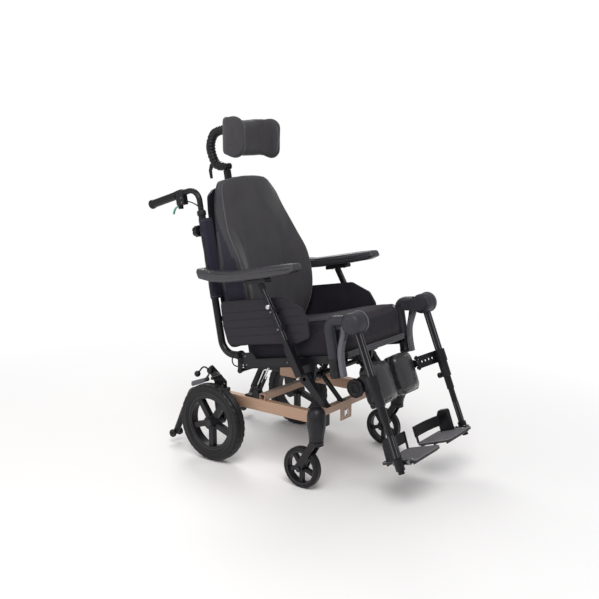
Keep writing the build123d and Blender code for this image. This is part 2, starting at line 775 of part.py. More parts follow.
def seat_side_cover():
    x = (COVER_X, COVER_X + COVER_T)
    outline = [
        (COVER_FRONT, COVER_BASE),
        (COVER_REAR, COVER_BASE),
        (COVER_REAR, COVER_REAR_TOP),
        (COVER_REAR - 52, COVER_REAR_TOP),
        (COVER_REAR - 70, COVER_TOP),
        (COVER_FRONT, COVER_TOP),
    ]
    rail_out = RAIL_X + RAIL_W / 2
    z = (RAIL_TOP - RAIL_H + 2, RAIL_TOP - 2)
    front = block((rail_out, x[0]), (COVER_FRONT, COVER_FRONT + COVER_T), z)
    rear_y = COVER_REAR - 18
    rear = block((rail_out + RECLINE_LUG_T, x[0]), (rear_y, rear_y + COVER_T), z)
    return [fuse(slab(outline, x), front, rear)]


def armrest_post():
    post = post_box(POST_W, POST_D, POST_START, POST_L)
    post = fillet(post.edges().sort_by(Axis.X)[0:4].filter_by(GeomType.LINE), 2)
    top = ARM_PAD_BASE - GAP
    rail = block((POST_X - POST_W / 2, ARM_PAD_X + 14), ARM_BAR_Y, (top - ARM_BAR_H, top))
    return [post + rail]


def armpad():
    y0, y1 = -235, 236
    outline = [
        (y0, ARM_PAD_TOP - 24),
        (y0 + 10, ARM_PAD_TOP),
        (60, ARM_PAD_TOP),
        (180, ARM_PAD_TOP + 15),
        (y1 - 8, ARM_PAD_TOP + 33),
        (y1, ARM_PAD_TOP + 18),
        (y1 - 6, ARM_PAD_TOP - 8),
        (170, ARM_PAD_BASE + 12),
        (110, ARM_PAD_BASE + 3),
        (40, ARM_PAD_BASE),
        (-100, ARM_PAD_BASE),
        (-200, ARM_PAD_BASE + 4),
    ]
    body = rounded_slab(outline, span(ARM_PAD_X, ARM_PAD_W), 8)
    return [fillet(body.edges(), 7)]


def side_guard():
    outline = [
        (-160, GUARD_BASE),
        (176, GUARD_BASE + 9),
        (188, GUARD_BASE + 80),
        (184, GUARD_BASE + 176),
        (-120, GUARD_BASE + 169),
        (-196, GUARD_BASE + 123),
        (-216, GUARD_BASE + 79),
        (-216, GUARD_BASE + 19),
    ]
    x = span(GUARD_X, GUARD_T)
    guard = rounded_slab(outline, x, 22)
    uy, uz = post_axis()
    clamps = []
    for distance in (176, 244):
        clip = post_box(POST_W + 6, POST_D + 8, distance, distance + 14)
        clip = clip - post_box(POST_W, POST_D, distance - 1, distance + 15)
        y = POST_FOOT[0] + distance * uy
        z = POST_FOOT[1] + distance * uz
        strap = block((x[1], POST_X - POST_W / 2 - 3), (y - 16, y + 20), (z + 2, z + 10))
        clamps.append(clip + strap)
    return [guard, *clamps]


# ---- back ----
def recline_eye(x, radius):
    return disc(x, *RECLINE, radius)


def lever_bar():
    turn = math.radians(RECLINE_TRAVEL / 2)
    return RECLINE[0] + LEVER_ARM * math.sin(turn), recline_axis_z()


def back_tube():
    y, z = RECLINE
    route = [(BACK_X, y, z), (BACK_X, BACK_Y - 3, z + 7), (BACK_X, BACK_Y, BACK_TOP)]
    x = span(BACK_X, RECLINE_EYE_W)
    flats = recline_eye((x[0] - BACK_R, x[0]), RECLINE_EYE_R + 4) + recline_eye((x[1], x[1] + BACK_R), RECLINE_EYE_R + 4)
    tube = pipe(route, BACK_R, BACK_BEND) - flats + recline_eye(x, RECLINE_EYE_R)
    bar_y, bar_z = lever_bar()
    web = [(y - 12, z - 8), (y + 14, z - 8), (bar_y + 8, bar_z), (bar_y - 8, bar_z)]
    arm_x = (x[0], x[0] + 8)
    tube = tube + slab(web, arm_x) + disc(arm_x, bar_y, bar_z, LEVER_BAR_R + 3)
    tube = tube - recline_eye((x[0] - 1, x[1] + 1), RECLINE_PIN_R + RUN)
    bore = bar((BACK_X, BACK_Y, HANDLE_FOOT - 10), (BACK_X, BACK_Y, BACK_TOP + 1), HANDLE_R + SLIDE)
    boss = bar((BACK_X, BACK_Y, KNOB_Z), (BACK_X, BACK_Y + BACK_R + 9, KNOB_Z), 9)
    knob_bore = bar((BACK_X, knob_root(), KNOB_Z), (BACK_X, BACK_Y + 40, KNOB_Z), KNOB_STEM_R + RUN)
    return tube + boss - bore - knob_bore


def knob_root():
    return BACK_Y + HANDLE_R + 5


def back_frame():
    tubes = both(back_tube())
    bar_y, bar_z = lever_bar()
    arm_in = BACK_X - RECLINE_EYE_W / 2
    pieces = [*tubes, disc((-arm_in, arm_in), bar_y, bar_z, LEVER_BAR_R)]
    for z in BACK_BAR_Z:
        cross = disc((-BACK_X, BACK_X), BACK_Y, z, BACK_BAR_R)
        for x in (-BACK_X, BACK_X):
            cross = cross - bar((x, BACK_Y, z - 40), (x, BACK_Y, z + 40), BACK_R)
        pieces.append(cross)
    return pieces


def front_outline(points):
    """Closed outline in (x, z), mirrored about the middle."""
    left = [(-x, z) for x, z in reversed(points)]
    return make_face(Polyline(*points, *left, close=True))


def shell_face_y():
    return BACK_Y - BACK_BAR_R


def back_shell():
    half = BACK_X - BACK_R - 5
    outline = front_outline([
        (half - 10, SHELL_BASE),
        (half - 2, SHELL_BASE + 140),
        (half, SHELL_BASE + 300),
        (half - 2, SHELL_TOP - 194),
        (half - 6, SHELL_TOP - 84),
        (half - 14, SHELL_TOP - 28),
        (half - 50, SHELL_TOP),
    ])
    return extrude(Plane.XZ.offset(-shell_face_y()) * rounded(outline, 30), SHELL_T)


def back_cushion():
    rear = shell_face_y() - SHELL_T - SLIDE
    half = BACK_CUSHION_W / 2
    outline = rounded(front_outline([
        (half - 6, BACK_CUSHION_BASE),
        (half, BACK_CUSHION_BASE + 194),
        (half, BACK_CUSHION_TOP - 350),
        (half - 12, BACK_CUSHION_TOP - 220),
        (half - 28, BACK_CUSHION_TOP - 90),
        (half - 80, BACK_CUSHION_TOP),
    ]), 24)
    pad = extrude(Plane.XZ.offset(-rear) * outline, BACK_CUSHION_T)
    front = rear - BACK_CUSHION_T
    wing = [
        (front + 30, WING_BASE),
        (front - 29, WING_BASE + 10),
        (front - 60, WING_BASE + 64),
        (front - 65, WING_BASE + 148),
        (front - 57, WING_BASE + 244),
        (front - 11, WING_BASE + 344),
        (front + 30, WING_TOP),
    ]
    wing = rounded_slab(wing, WING_X, 16)
    low, high = WING_X
    trim = front_outline([
        (high - 16, WING_BASE),
        (high, WING_BASE + 148),
        (high, WING_TOP - 150),
        (high - 6, WING_TOP - 100),
        (low + 2, WING_TOP),
    ])
    wing = (wing & extrude(Plane.XZ.offset(-rear) * trim, BACK_CUSHION_T + 120)) - pad
    return [pad, wing, mirrored(wing)]


def headrest_clamp():
    y = (shell_face_y(), HEAD_BAR_Y + 18)
    body = block(span(0, 48), y, CLAMP_Z)
    hole = block(
        span(0, HEAD_BAR_W + 2 * SLIDE), span(HEAD_BAR_Y, HEAD_BAR_D + 2 * SLIDE), (CLAMP_Z[0] - 1, CLAMP_Z[1] + 1)
    )
    mid = (CLAMP_Z[0] + CLAMP_Z[1]) / 2
    stem = bar((0, y[1], mid), (0, y[1] + 12, mid), 4) + bar((0, y[1] + 10, mid), (0, y[1] + 24, mid), 13)
    return [body - hole, stem]


def headrest_bar():
    y, z = HEAD_PIVOT
    post = block(span(0, HEAD_BAR_W), span(HEAD_BAR_Y, HEAD_BAR_D), (HEAD_BAR_FOOT, z - HEAD_EYE_R - 3))
    neck = block(span(0, HEAD_EYE_W), span(y, 18), (z - HEAD_EYE_R - 4, z))
    eye = disc(span(0, HEAD_EYE_W), y, z, HEAD_EYE_R)
    pin = disc(span(0, HEAD_EYE_W + 2 * HEAD_CHEEK + 4), y, z, 4)
    return fuse(post, neck, eye, pin)


def headrest_arm():
    y, z = HEAD_PIVOT
    end_y, end_z = HEAD_END
    route = [(y + 22, z + 3), (y + 58, z + 16), (y + 76, z + 92), (y + 42, z + 146), (end_y + 27, end_z + 2)]
    arm = pipe([(0, a, b) for a, b in route], HEAD_ARM_R, [34, 44, 34])
    pin = disc(span(0, 60), y, z, 4 + RUN)
    cheeks = []
    for side in (-1, 1):
        low = HEAD_EYE_W / 2 + SLIDE
        x = sorted((side * low, side * (low + HEAD_CHEEK)))
        cheeks.append(disc(x, y, z, 14) + slab([(y, z - 11), (y, z + 13), (y + 26, z + 16), (y + 26, z - 10)], x))
    bridge = block(span(0, HEAD_EYE_W + 2 * SLIDE + 2 * HEAD_CHEEK), (y + 16, y + 26), (z - 11, z + 16))
    eye = disc(span(0, HEAD_EYE_W), end_y, end_z, HEAD_EYE_R - 1)
    neck = block(span(0, HEAD_EYE_W), (end_y, end_y + 31), (end_z - 8, end_z + 12))
    lever = slab([(y + 56, z + 30), (y + 84, z + 24), (y + 96, z), (y + 94, z - 34), (y + 88, z - 34),
                  (y + 86, z - 2), (y + 76, z + 10), (y + 56, z + 14)], (-5, 5))
    body = fuse(arm, bridge, *cheeks, neck, eye, lever) - pin
    return body - disc(span(0, 60), end_y, end_z, 4 + RUN)


def headrest_cushion():
    plan = [(0, 172), (60, 170), (98, 152), (117, 112), (120, 60), (108, 42), (92, 50), (82, 92), (54, 114), (0, 122)]
    left = [(-x, y) for x, y in reversed(plan[1:-1])]
    face = make_face(Polyline(*plan, *left, close=True))
    face = fillet([corner for corner in face.vertices() if abs(corner.X) > 1], HEAD_ROUND)
    pad = extrude(Pos(0, 0, HEAD_BASE) * face, HEAD_H)
    pad = soft_ends(pad, Axis.Z, HEAD_ROUND)
    middle = Pos(0, HEAD_MIDDLE_Y, HEAD_BASE + HEAD_H / 2)
    pad = middle * Rot(HEAD_PAD_TURN, 0, 0) * middle.inverse() * pad
    end_y, end_z = HEAD_END
    plate = block(span(0, 60), (140, 178), (end_z - 40, end_z + 10)) - pad
    bracket = plate + disc(span(0, HEAD_EYE_W + 2 * HEAD_CHEEK), end_y, end_z, 4)
    for side in (-1, 1):
        low = HEAD_EYE_W / 2 + SLIDE
        x = sorted((side * low, side * (low + HEAD_CHEEK)))
        ear = [(176, end_z - 12), (176, end_z + 12), (end_y, end_z + 12), (end_y, end_z - 12)]
        bracket = bracket + slab(ear, x) + disc(x, end_y, end_z, 12)
    return [pad, bracket]


def handle_route():
    return [(BACK_X, BACK_Y, HANDLE_FOOT), (BACK_X, BACK_Y, HANDLE_CORNER), (BACK_X, *HANDLE_END)]


def handle_tube():
    return pipe(handle_route(), HANDLE_R, HANDLE_BEND)


def on_handle(y):
    """Point of the handle's straight upper run at a given y."""
    slope = (HANDLE_END[1] - HANDLE_CORNER) / (HANDLE_END[0] - BACK_Y)
    return (BACK_X, y, HANDLE_CORNER + slope * (y - BACK_Y))


def grip():
    end = HANDLE_END[0] + 1
    body = bar(on_handle(GRIP_START), on_handle(end), GRIP_R)
    flare = bar(on_handle(end - GRIP_FLARE), on_handle(end + 3), GRIP_FLARE_R)
    return body + fillet(flare.edges(), 3) - handle_tube()


def lever_housing():
    body = block(span(BACK_X, LEVER_BOX_W), LEVER_BOX_Y, LEVER_BOX_Z)
    body = fillet(body.edges(), 5)
    y, z = TRIGGER
    cheeks = []
    for side in (-1, 1):
        low = TRIGGER_W / 2 + SLIDE
        x = sorted((BACK_X + side * low, BACK_X + side * (low + 4)))
        cheeks.append(slab([(y - 8, LEVER_BOX_Z[0] + 6), (y + 8, LEVER_BOX_Z[0] + 6), (y + 5, z - 5), (y - 5, z - 5)], x))
    pin = disc(span(BACK_X, TRIGGER_W + 2 * SLIDE + 8), y, z, TRIGGER_PIN_R)
    return fuse(body, *cheeks, pin) - handle_tube()


def trigger():
    y, z = TRIGGER
    outline = [
        (y - 5, z + 5), (y + 6, z + 6), (y + 26, z + 1), (y + 48, z - 6), (y + 46, z - 13), (y + 22, z - 8), (y - 4, z - 5),
    ]
    body = slab(outline, span(BACK_X, TRIGGER_W))
    return [body - disc(span(BACK_X, 30), y, z, TRIGGER_PIN_R + RUN)]


def handle_cable():
    y, z = LEVER_BOX_Y[0] - GAP, LEVER_BOX_Z[0] + 12
    route = [(BACK_X, y, z), (BACK_X, y - 30, z - 4), (BACK_X, BACK_Y + 4, z - 34)]
    return pipe(route, CABLE_R, 22) - handle_tube()


def handle_knob():
    y0 = BACK_Y + BACK_R + 9 + GAP
    body = bar((0, 0, 0), (0, 0, KNOB_H), KNOB_R)
    for n in range(KNOB_LOBES):
        turn = Rot(0, 0, n * 360 / KNOB_LOBES)
        body = body - turn * Pos(KNOB_R + 2, 0, 0) * Cylinder(5, 3 * KNOB_H)
    body = body + bar((0, 0, 0), (0, 0, KNOB_H + 3), 10)
    head = Pos(BACK_X, y0, KNOB_Z) * Rot(-90, 0, 0) * body
    return [head + bar((BACK_X, knob_root() + GAP, KNOB_Z), (BACK_X, y0 + 4, KNOB_Z), KNOB_STEM_R)]


def recline_cylinder():
    z = recline_axis_z()
    front = RECLINE_STRUT_FRONT - 4
    return recline_barrel() - bar((0, front + 60, z), (0, front + RECLINE_STRUT_L + 1, z), RECLINE_BORE_R)


def recline_rod():
    y, z = lever_bar()
    rod = bar((0, -60, z), (0, y - 14, z), RECLINE_ROD_R)
    slot_low = LEVER_ARM * (1 - math.cos(math.radians(RECLINE_TRAVEL / 2))) + SLIDE
    eye = block(span(0, 16), (y - 16, y + 13), (z - 14, z + 10))
    slot = disc(span(0, 20), y, z, LEVER_BAR_R + SLIDE)
    slot = slot + disc(span(0, 20), y, z - slot_low, LEVER_BAR_R + SLIDE)
    return rod + eye - slot


def release_cable():
    y, z = RECLINE
    x = COVER_X + COVER_T + CABLE_R
    route = [(x, y + RECLINE_CAP_R - 1, z + 2), (x, y + 30, z - 8), (x, y + 18, z - 46), (x, COVER_REAR - 12, z - 40)]
    return pipe(route, CABLE_R, [12, 16]) - recline_eye(recline_cap(), RECLINE_CAP_R)


# ---- legrests, sitter's left ----
def legrest_hanger():
    knee_y, knee_z = KNEE
    near = knee_y + KNEE_R + 6
    tube = bar((HANGER_X, HANGER_Y, HANGER_FOOT), (HANGER_X, HANGER_Y, HANGER_TOP - 20), HANGER_R)
    route = [(HANGER_Y, RAIL_TOP + SLIDE), (HANGER_Y, HANGER_TOP + 2), (near, HANGER_TOP - 2)]
    elbow = pipe([(HANGER_X, y, z) for y, z in route], HANGER_BODY_R, 30)
    plate_x = (KNEE_X - KNEE_W / 2 - 2 - HANGER_PLATE, KNEE_X - KNEE_W / 2 - 2)
    arm = [
        (HANGER_Y - 30, HANGER_TOP + 8),
        (knee_y + 8, knee_z + 24),
        (knee_y - 4, knee_z - 24),
        (HANGER_Y - 30, HANGER_TOP - 30),
    ]
    arm = slab(arm, (plate_x[0], HANGER_X)) - disc((plate_x[1], HANGER_X), knee_y, knee_z, KNEE_R + 5)
    arm = arm + disc(plate_x, knee_y, knee_z, 25)
    pin = disc((plate_x[1], KNEE_X + KNEE_W / 2 - 8), knee_y, knee_z, KNEE_PIN_R)
    body = fuse(tube, elbow, arm, pin)
    lever = [
        (near + 1, HANGER_TOP - 16),
        (near - 8, HANGER_TOP - 33),
        (near + 10, HANGER_TOP - 68),
        (near + 29, HANGER_TOP - 104),
        (near + 33, HANGER_TOP - 152),
        (near + 31, HANGER_TOP - 192),
        (near + 43, HANGER_TOP - 192),
        (near + 45, HANGER_TOP - 150),
        (near + 42, HANGER_TOP - 100),
        (near + 29, HANGER_TOP - 62),
        (near + 15, HANGER_TOP - 16),
    ]
    lever = rounded_slab(lever, span(HANGER_X - 2, LEVER_BAND_W), 3)
    return [tilted(body), tilted(lever - body)]


def legrest_upright():
    x = span(KNEE_X, KNEE_W)
    drum = fillet(disc(x, 0, 0, KNEE_R).edges(), 5)
    drum = drum - disc((x[0] - 1, x[1] - 6), 0, 0, KNEE_PIN_R + RUN)
    tube = bar((LEG_X, 0, -KNEE_R + 6), (LEG_X, 0, -LEG_L), LEG_R)
    sleeve = bar((LEG_X, 0, -SLEEVE[0]), (LEG_X, 0, -SLEEVE[1]), SLEEVE_R)
    bore = bar((LEG_X, 0, -LEG_BORE_START), (LEG_X, 0, -LEG_L - 1), FOOT_R + SLIDE)
    knob = bar((LEG_X, SLEEVE_R - 5, 8 - SLEEVE[1]), (LEG_X, SLEEVE_R + 14, 8 - SLEEVE[1]), 9)
    ring = bar((LEG_X, 0, -CALF_ARM_DROP), (LEG_X, 0, -CALF_ARM_DROP - CALF_ARM_H), SLEEVE_R + 4)
    outer = bar((LEG_X, 0, 0), (LEG_X, 0, -LEG_L), SLEEVE_R)
    dx, dy = CALF_ARM_ROOT[0] - CALF_PIN[0], CALF_PIN[1] - CALF_ARM_ROOT[1]
    slant = math.degrees(math.atan2(dy, dx))
    length = math.hypot(dx, dy)
    arm = Pos(-length / 2 + 4, 0, 0) * Box(length, CALF_ARM_T, CALF_ARM_H)
    for n in range(4):
        hole = Pos(-length * (n + 1) / 5.2, 0, 0) * Rot(90, 0, 0) * Cylinder(4.5, 3 * CALF_ARM_T)
        arm = arm - hole
    arm_z = -CALF_ARM_DROP - CALF_ARM_H / 2
    arm = Pos(*CALF_ARM_ROOT, arm_z) * Rot(0, 0, -slant) * arm
    px, py = CALF_PIN
    pin = bar((px, py, arm_z - CALF_ARM_H / 2 - 4), (px, py, arm_z + CALF_ARM_H / 2 + 4), CALF_PIN_R)
    window = bar((px, py, arm_z - 13), (px, py, arm_z + 13), 12)
    for side in (-1, 1):
        end = arm_z + side * CALF_ARM_H / 2
        arm = arm + bar((px, py, end - side * 9), (px, py, end), 9)
    arm = arm - window + pin
    frame = fuse(drum, tube, sleeve, knob) - bore
    collar = ring - bore - outer
    return [leg(frame), leg(fuse(collar, arm) - outer)]


def calf_pad():
    w, d, h = CALF_PAD
    x = span(CALF_PAD_X, w)
    y = span(CALF_PAD_Y, d)
    z = span(-CALF_PAD_DROP, h)
    pad = fillet(block(x, y, z).edges().filter_by(Axis.Z), 24)
    hollow_y = y[0] + CALF_HOLLOW - CALF_HOLLOW_R
    hollow = bar((CALF_PAD_X, hollow_y, z[0]), (CALF_PAD_X, hollow_y, z[1]), CALF_HOLLOW_R)
    pad = soft_ends(pad - hollow, Axis.Z, 8)
    arm_z = -CALF_ARM_DROP - CALF_ARM_H / 2
    px, py = CALF_PIN
    knuckle_ring = bar((px, py, arm_z - 12), (px, py, arm_z + 12), 9)
    plate = block((x[1] + SLIDE, x[1] + 5), (py - 2, y[1] - 14), (arm_z - 12, arm_z + 12))
    pin = bar((px, py, arm_z - 30), (px, py, arm_z + 30), CALF_PIN_R + RUN)
    return [leg(pad), leg(knuckle_ring + plate - pin)]


def foot_tube(side):
    tube = bar((LEG_X, 0, -FOOT_TOP), (LEG_X, 0, -FOOT_BOTTOM), FOOT_R)
    clamp = bar((LEG_X, 0, 20 - FOOT_HINGE_DROP), (LEG_X, 0, -20 - FOOT_HINGE_DROP), 16)
    lug = block((-8, LEG_X - FOOT_HINGE_X), (-12, 12), (-6.5, 6.5))
    pin = bar((0, -34, 0), (0, 34, 0), FOOT_PIN_R)
    body = leg(fuse(tube, clamp)) + foot(fuse(lug, pin), side)
    return body


def footplate(side):
    far = -FOOT_PLATE_L
    y = (FOOT_PLATE_FRONT, FOOT_PLATE_REAR)
    plate = block((far, -11), y, (-FOOT_PLATE_T + 3, 3))
    corner = plate.edges().filter_by(Axis.Z).sort_by(Axis.X)[0:2]
    plate = fillet(corner, 24)
    for low in (-34, 14):
        plate = plate + bar((0, low, 0), (0, low + 20, 0), 9) + block((-12, 0), (low, low + 20), (-6, 3))
    plate = plate - bar((0, -40, 0), (0, 40, 0), FOOT_PIN_R + RUN)
    panel = block((-12 - HEEL_PANEL_T, -12), HEEL_PANEL, (3, HEEL_PANEL_H))
    post = block((far + 6, far + 12), (y[1] - 10, y[1] - 2), (3, HEEL_BAND_Z[1]))
    strap = [(-14, HEEL_PANEL[1] - 14), (-40, HEEL_PANEL[1] + 4), (-95, y[1] - 6), (far + 8, y[1] - 5)]
    rear = [(px, py + HEEL_BAND_T) for px, py in reversed(strap)]
    band = extrude(Pos(0, 0, HEEL_BAND_Z[0]) * make_face(Polyline(*strap, *rear, close=True)),
                   HEEL_BAND_Z[1] - HEEL_BAND_Z[0])
    return [foot(plate, side), foot(fuse(panel, post, band), side)]


def main():
    os.makedirs("parts", exist_ok=True)
    save("side_beams", *[s for piece in side_beam() for s in both(piece)])
    save("crossbars", crossbars())
    save("castor_housings", *[both(s) for s in castor_housing()])
    save("tilt_uprights", tilt_uprights())
    save("axle_brackets", *[both(s) for s in axle_bracket()])
    save("strut_feet", *[both(s) for s in strut_foot()])
    save("parking_brake_bodies", *[both(s) for s in parking_brake_body()])
    save_pair("rear_tyre", rear_tyre)
    save_pair("rear_rim", rear_rim)
    save_pair("castor_fork", castor_fork)
    save_pair("castor_wheel", castor_wheel)
    save_pair("parking_brake_lever", parking_brake_lever)
    save_pair("anti_tipper", anti_tipper)
    save("tilt_cylinders", *[both(s) for s in tilt_cylinder()])
    save("tilt_rods", *[both(s) for s in tilt_rod()])

    save("seat_frame", [tilted(s) for s in seat_frame()])
    save("seat_plate", tilted(seat_plate()))
    save("seat_cushion", tilted(seat_cushion()))
    save("seat_side_covers", *[both(tilted(s)) for s in seat_side_cover()])
    save("armrest_sockets", *[both(tilted(s)) for s in armrest_socket()])
    save_pair("armrest_post", lambda: [tilted(s) for s in armrest_post()])
    save_pair("armpad", lambda: [tilted(s) for s in armpad()])
    save_pair("side_guard", lambda: [tilted(s) for s in side_guard()])
    save("release_cable", both(tilted(release_cable())))

    save("back_frame", [tilted(s) for s in back_frame()])
    save("back_shell", tilted(back_shell()))
    save("back_cushion", [tilted(s) for s in back_cushion()])
    save("headrest_clamp", [tilted(s) for s in headrest_clamp()])
    save("recline_cylinder", tilted(recline_cylinder()))
    save("recline_rod", tilted(recline_rod()))
    save("headrest_bar", tilted(headrest_bar()))
    save("headrest_arm", tilted(headrest_arm()))
    save("headrest_cushion", [tilted(s) for s in headrest_cushion()])
    save("handle_tubes", both(tilted(handle_tube())))
    save("grips", both(tilted(grip())))
    save("lever_housings", both(tilted(lever_housing())))
    save("handle_cables", both(tilted(handle_cable())))
    save_pair("trigger", lambda: [tilted(s) for s in trigger()])
    save_pair("handle_knob", lambda: [tilted(s) for s in handle_knob()])

    save_pair("legrest_hanger", legrest_hanger)
    save_pair("legrest_upright", legrest_upright)
    save_pair("calf_pad", calf_pad)
    save("foot_tube_L", foot_tube("L"))
    save("foot_tube_R", mirrored(foot_tube("R")))
    save("footplate_L", footplate("L"))
    save("footplate_R", [mirrored(s) for s in footplate("R")])


main()
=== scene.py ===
import json
import math

import bmesh
import bpy
from mathutils import Matrix, Vector

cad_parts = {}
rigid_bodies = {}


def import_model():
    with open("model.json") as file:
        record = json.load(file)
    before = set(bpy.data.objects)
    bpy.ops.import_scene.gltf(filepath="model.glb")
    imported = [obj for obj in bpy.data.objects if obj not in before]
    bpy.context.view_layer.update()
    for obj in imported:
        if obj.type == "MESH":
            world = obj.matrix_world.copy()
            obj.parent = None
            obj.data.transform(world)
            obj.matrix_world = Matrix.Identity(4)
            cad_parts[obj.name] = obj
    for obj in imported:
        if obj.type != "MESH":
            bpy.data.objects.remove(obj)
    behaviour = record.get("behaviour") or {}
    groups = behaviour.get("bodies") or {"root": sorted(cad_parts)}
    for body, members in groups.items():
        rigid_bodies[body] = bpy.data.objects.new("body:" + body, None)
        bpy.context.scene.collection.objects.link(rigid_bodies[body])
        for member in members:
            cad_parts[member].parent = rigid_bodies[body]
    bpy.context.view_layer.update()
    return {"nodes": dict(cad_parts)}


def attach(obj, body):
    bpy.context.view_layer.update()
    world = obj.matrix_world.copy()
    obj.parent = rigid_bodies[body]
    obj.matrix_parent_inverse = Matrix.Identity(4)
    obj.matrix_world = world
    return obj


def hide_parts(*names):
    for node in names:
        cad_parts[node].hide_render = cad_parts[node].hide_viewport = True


# Looks of a tilt in space wheelchair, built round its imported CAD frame.
# Shapes are drawn in the millimetres of the CAD drawing: LEVEL is the level seat drawing,
# LEG the upright legrest drawing below its knee hinge, HEAD the upright headrest and GROUND the chassis.

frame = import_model()

MM = 0.001
TILT = math.radians(10.5)
LEG_ANGLE = math.radians(11)
PIVOT = Vector((0, -165, 380))
KNEE = Vector((0, -422, 570))
FOOT_HINGE = Vector((220, 0, -490))
FOOT_PITCH = {"L": 2, "R": 4}
CENTRE_SHIFT = Vector((0, 5, 0))
HEAD_MIDDLE = Vector((0, 107, 1301))
CABLE_RADIUS = 2.5
SIDES = {"L": 1, "R": -1}
ORIGIN = (0, 0, 0)
OUT = Vector((1, 0, 0))
UP = Vector((0, 0, 1))
LEG_TUBE_X = 242
WHITE = (1, 1, 1, 1)


def pitched_about(place, angle):
    """A turn about the sideways axis through a place."""
    return Matrix.Translation(place) @ Matrix.Rotation(angle, 4, "X") @ Matrix.Translation(-place)


SCALE = Matrix.Scale(MM, 4)
GROUND = SCALE @ Matrix.Translation(CENTRE_SHIFT)
LEVEL = GROUND @ pitched_about(PIVOT, -TILT)
LEG = LEVEL @ Matrix.Translation(KNEE) @ Matrix.Rotation(-LEG_ANGLE, 4, "X")
HEAD = LEVEL @ pitched_about(HEAD_MIDDLE, TILT)
FLIP = Matrix.Diagonal((-1, 1, 1, 1))


def foot_space(side):
    pitch = Matrix.Rotation(math.radians(FOOT_PITCH[side]), 4, "X")
    return LEG @ Matrix.Translation(FOOT_HINGE) @ pitch


def sided(space, side):
    """The drawing space of a side: the sitter's right is the mirror of the left."""
    return space if side == "L" else FLIP @ space


# ---- camera and light ----
def placed(name, data):
    obj = bpy.data.objects.new(name, data)
    bpy.context.scene.collection.objects.link(obj)
    return obj


def camera():
    data = bpy.data.cameras.new("camera")
    data.sensor_width = 36
    data.lens = 47.62
    data.clip_end = 60
    cam = placed("camera", data)
    cam.location = (-2.429197, -1.787332, 1.140818)
    cam.rotation_euler = (math.radians(90 - 9.78), 0, math.radians(-53.13))
    bpy.context.scene.camera = cam


def area_light(name, place, target_height, size, power):
    """A round lamp aimed at a height above the middle of the floor."""
    data = bpy.data.lights.new(name, "AREA")
    data.shape = "DISK"
    data.size = size
    data.energy = power
    lamp = placed(name, data)
    lamp.location = place
    aim = Vector((0, 0, target_height)) - Vector(place)
    lamp.rotation_euler = aim.to_track_quat("-Z", "Y").to_euler()


# ---- materials ----
def add(tree, kind, settings=None, **values):
    """A shader node; each named input is linked to a socket or set to a constant."""
    node = tree.nodes.new(kind)
    for name, value in (settings or {}).items():
        setattr(node, name, value)
    feed(tree, node, **values)
    return node


def feed(tree, node, **values):
    for name, value in values.items():
        socket = node.inputs[name.replace("_", " ")]
        if isinstance(value, bpy.types.NodeSocket):
            tree.links.new(value, socket)
        else:
            socket.default_value = value


def seen_through(tree, share, shaded, plain, output):
    """Mixes two shaders by a share and joins them to the tree's output."""
    mix = add(tree, "ShaderNodeMixShader", Fac=share)
    tree.links.new(shaded, mix.inputs[1])
    tree.links.new(plain, mix.inputs[2])
    feed(tree, tree.nodes[output], Surface=mix.outputs["Shader"])


def world_light():
    """Soft light from all round; the camera itself sees plain white."""
    world = bpy.data.worlds.new("studio")
    bpy.context.scene.world = world
    world.use_nodes = True
    tree = world.node_tree
    back = tree.nodes["Background"]
    feed(tree, back, Color=WHITE, Strength=0.46)
    plain = add(tree, "ShaderNodeBackground", Color=WHITE, Strength=1)
    path = add(tree, "ShaderNodeLightPath")
    seen_through(tree, path.outputs["Is Camera Ray"], back.outputs[0], plain.outputs[0], "World Output")


def floor():
    """A pale floor that fades to white away from the chair."""
    mesh = bpy.data.meshes.new("floor")
    reach = 14
    mesh.from_pydata([(-reach, -reach, 0), (reach, -reach, 0), (reach, reach, 0), (-reach, reach, 0)], [],
                     [(0, 1, 2, 3)])
    m, tree, shader = new_material("floor", Roughness=0.6, Specular_IOR_Level=0.2)
    place = add(tree, "ShaderNodeTexCoord")
    length = add(tree, "ShaderNodeVectorMath", {"operation": "DISTANCE"})
    tree.links.new(place.outputs["Object"], length.inputs[0])
    length.inputs[1].default_value = (-0.35, 0.3, 0)
    fade = mapped(tree, length.outputs["Value"], 0.75, 2.3, 0, 1)
    feed(tree, shader, Base_Color=blended(tree, fade, (0.97, 0.95, 0.945, 1), (0.98, 0.98, 0.98, 1)))
    glow = add(tree, "ShaderNodeEmission", Color=WHITE, Strength=1)
    path = add(tree, "ShaderNodeLightPath")
    far = multiplied(tree, path.outputs["Is Camera Ray"], fade)
    seen_through(tree, far, shader.outputs["BSDF"], glow.outputs["Emission"], "Material Output")
    mesh.materials.append(m)
    placed("floor", mesh)


def srgb(r, g, b):
    """A screen colour, 0 to 255, as linear light."""
    out = []
    for v in (r, g, b):
        v = v / 255
        out.append(v / 12.92 if v <= 0.04045 else ((v + 0.055) / 1.055) ** 2.4)
    return (*out, 1)


def texture(tree, kind, scale, settings=None, **values):
    """A procedural texture on the piece's own place, in cycles per metre."""
    place = add(tree, "ShaderNodeTexCoord")
    return add(tree, f"ShaderNodeTex{kind}", settings, Vector=place.outputs["Object"], Scale=scale, **values)


def noise(tree, scale, detail):
    return texture(tree, "Noise", scale, Detail=detail).outputs["Fac"]


def mapped(tree, source, low, high, to_low, to_high):
    node = add(tree, "ShaderNodeMapRange", Value=source, From_Min=low, From_Max=high, To_Min=to_low,
               To_Max=to_high)
    return node.outputs["Result"]


def blended(tree, factor, a, b):
    return add(tree, "ShaderNodeMix", {"data_type": "RGBA"}, Factor=factor, A=a, B=b).outputs["Result"]


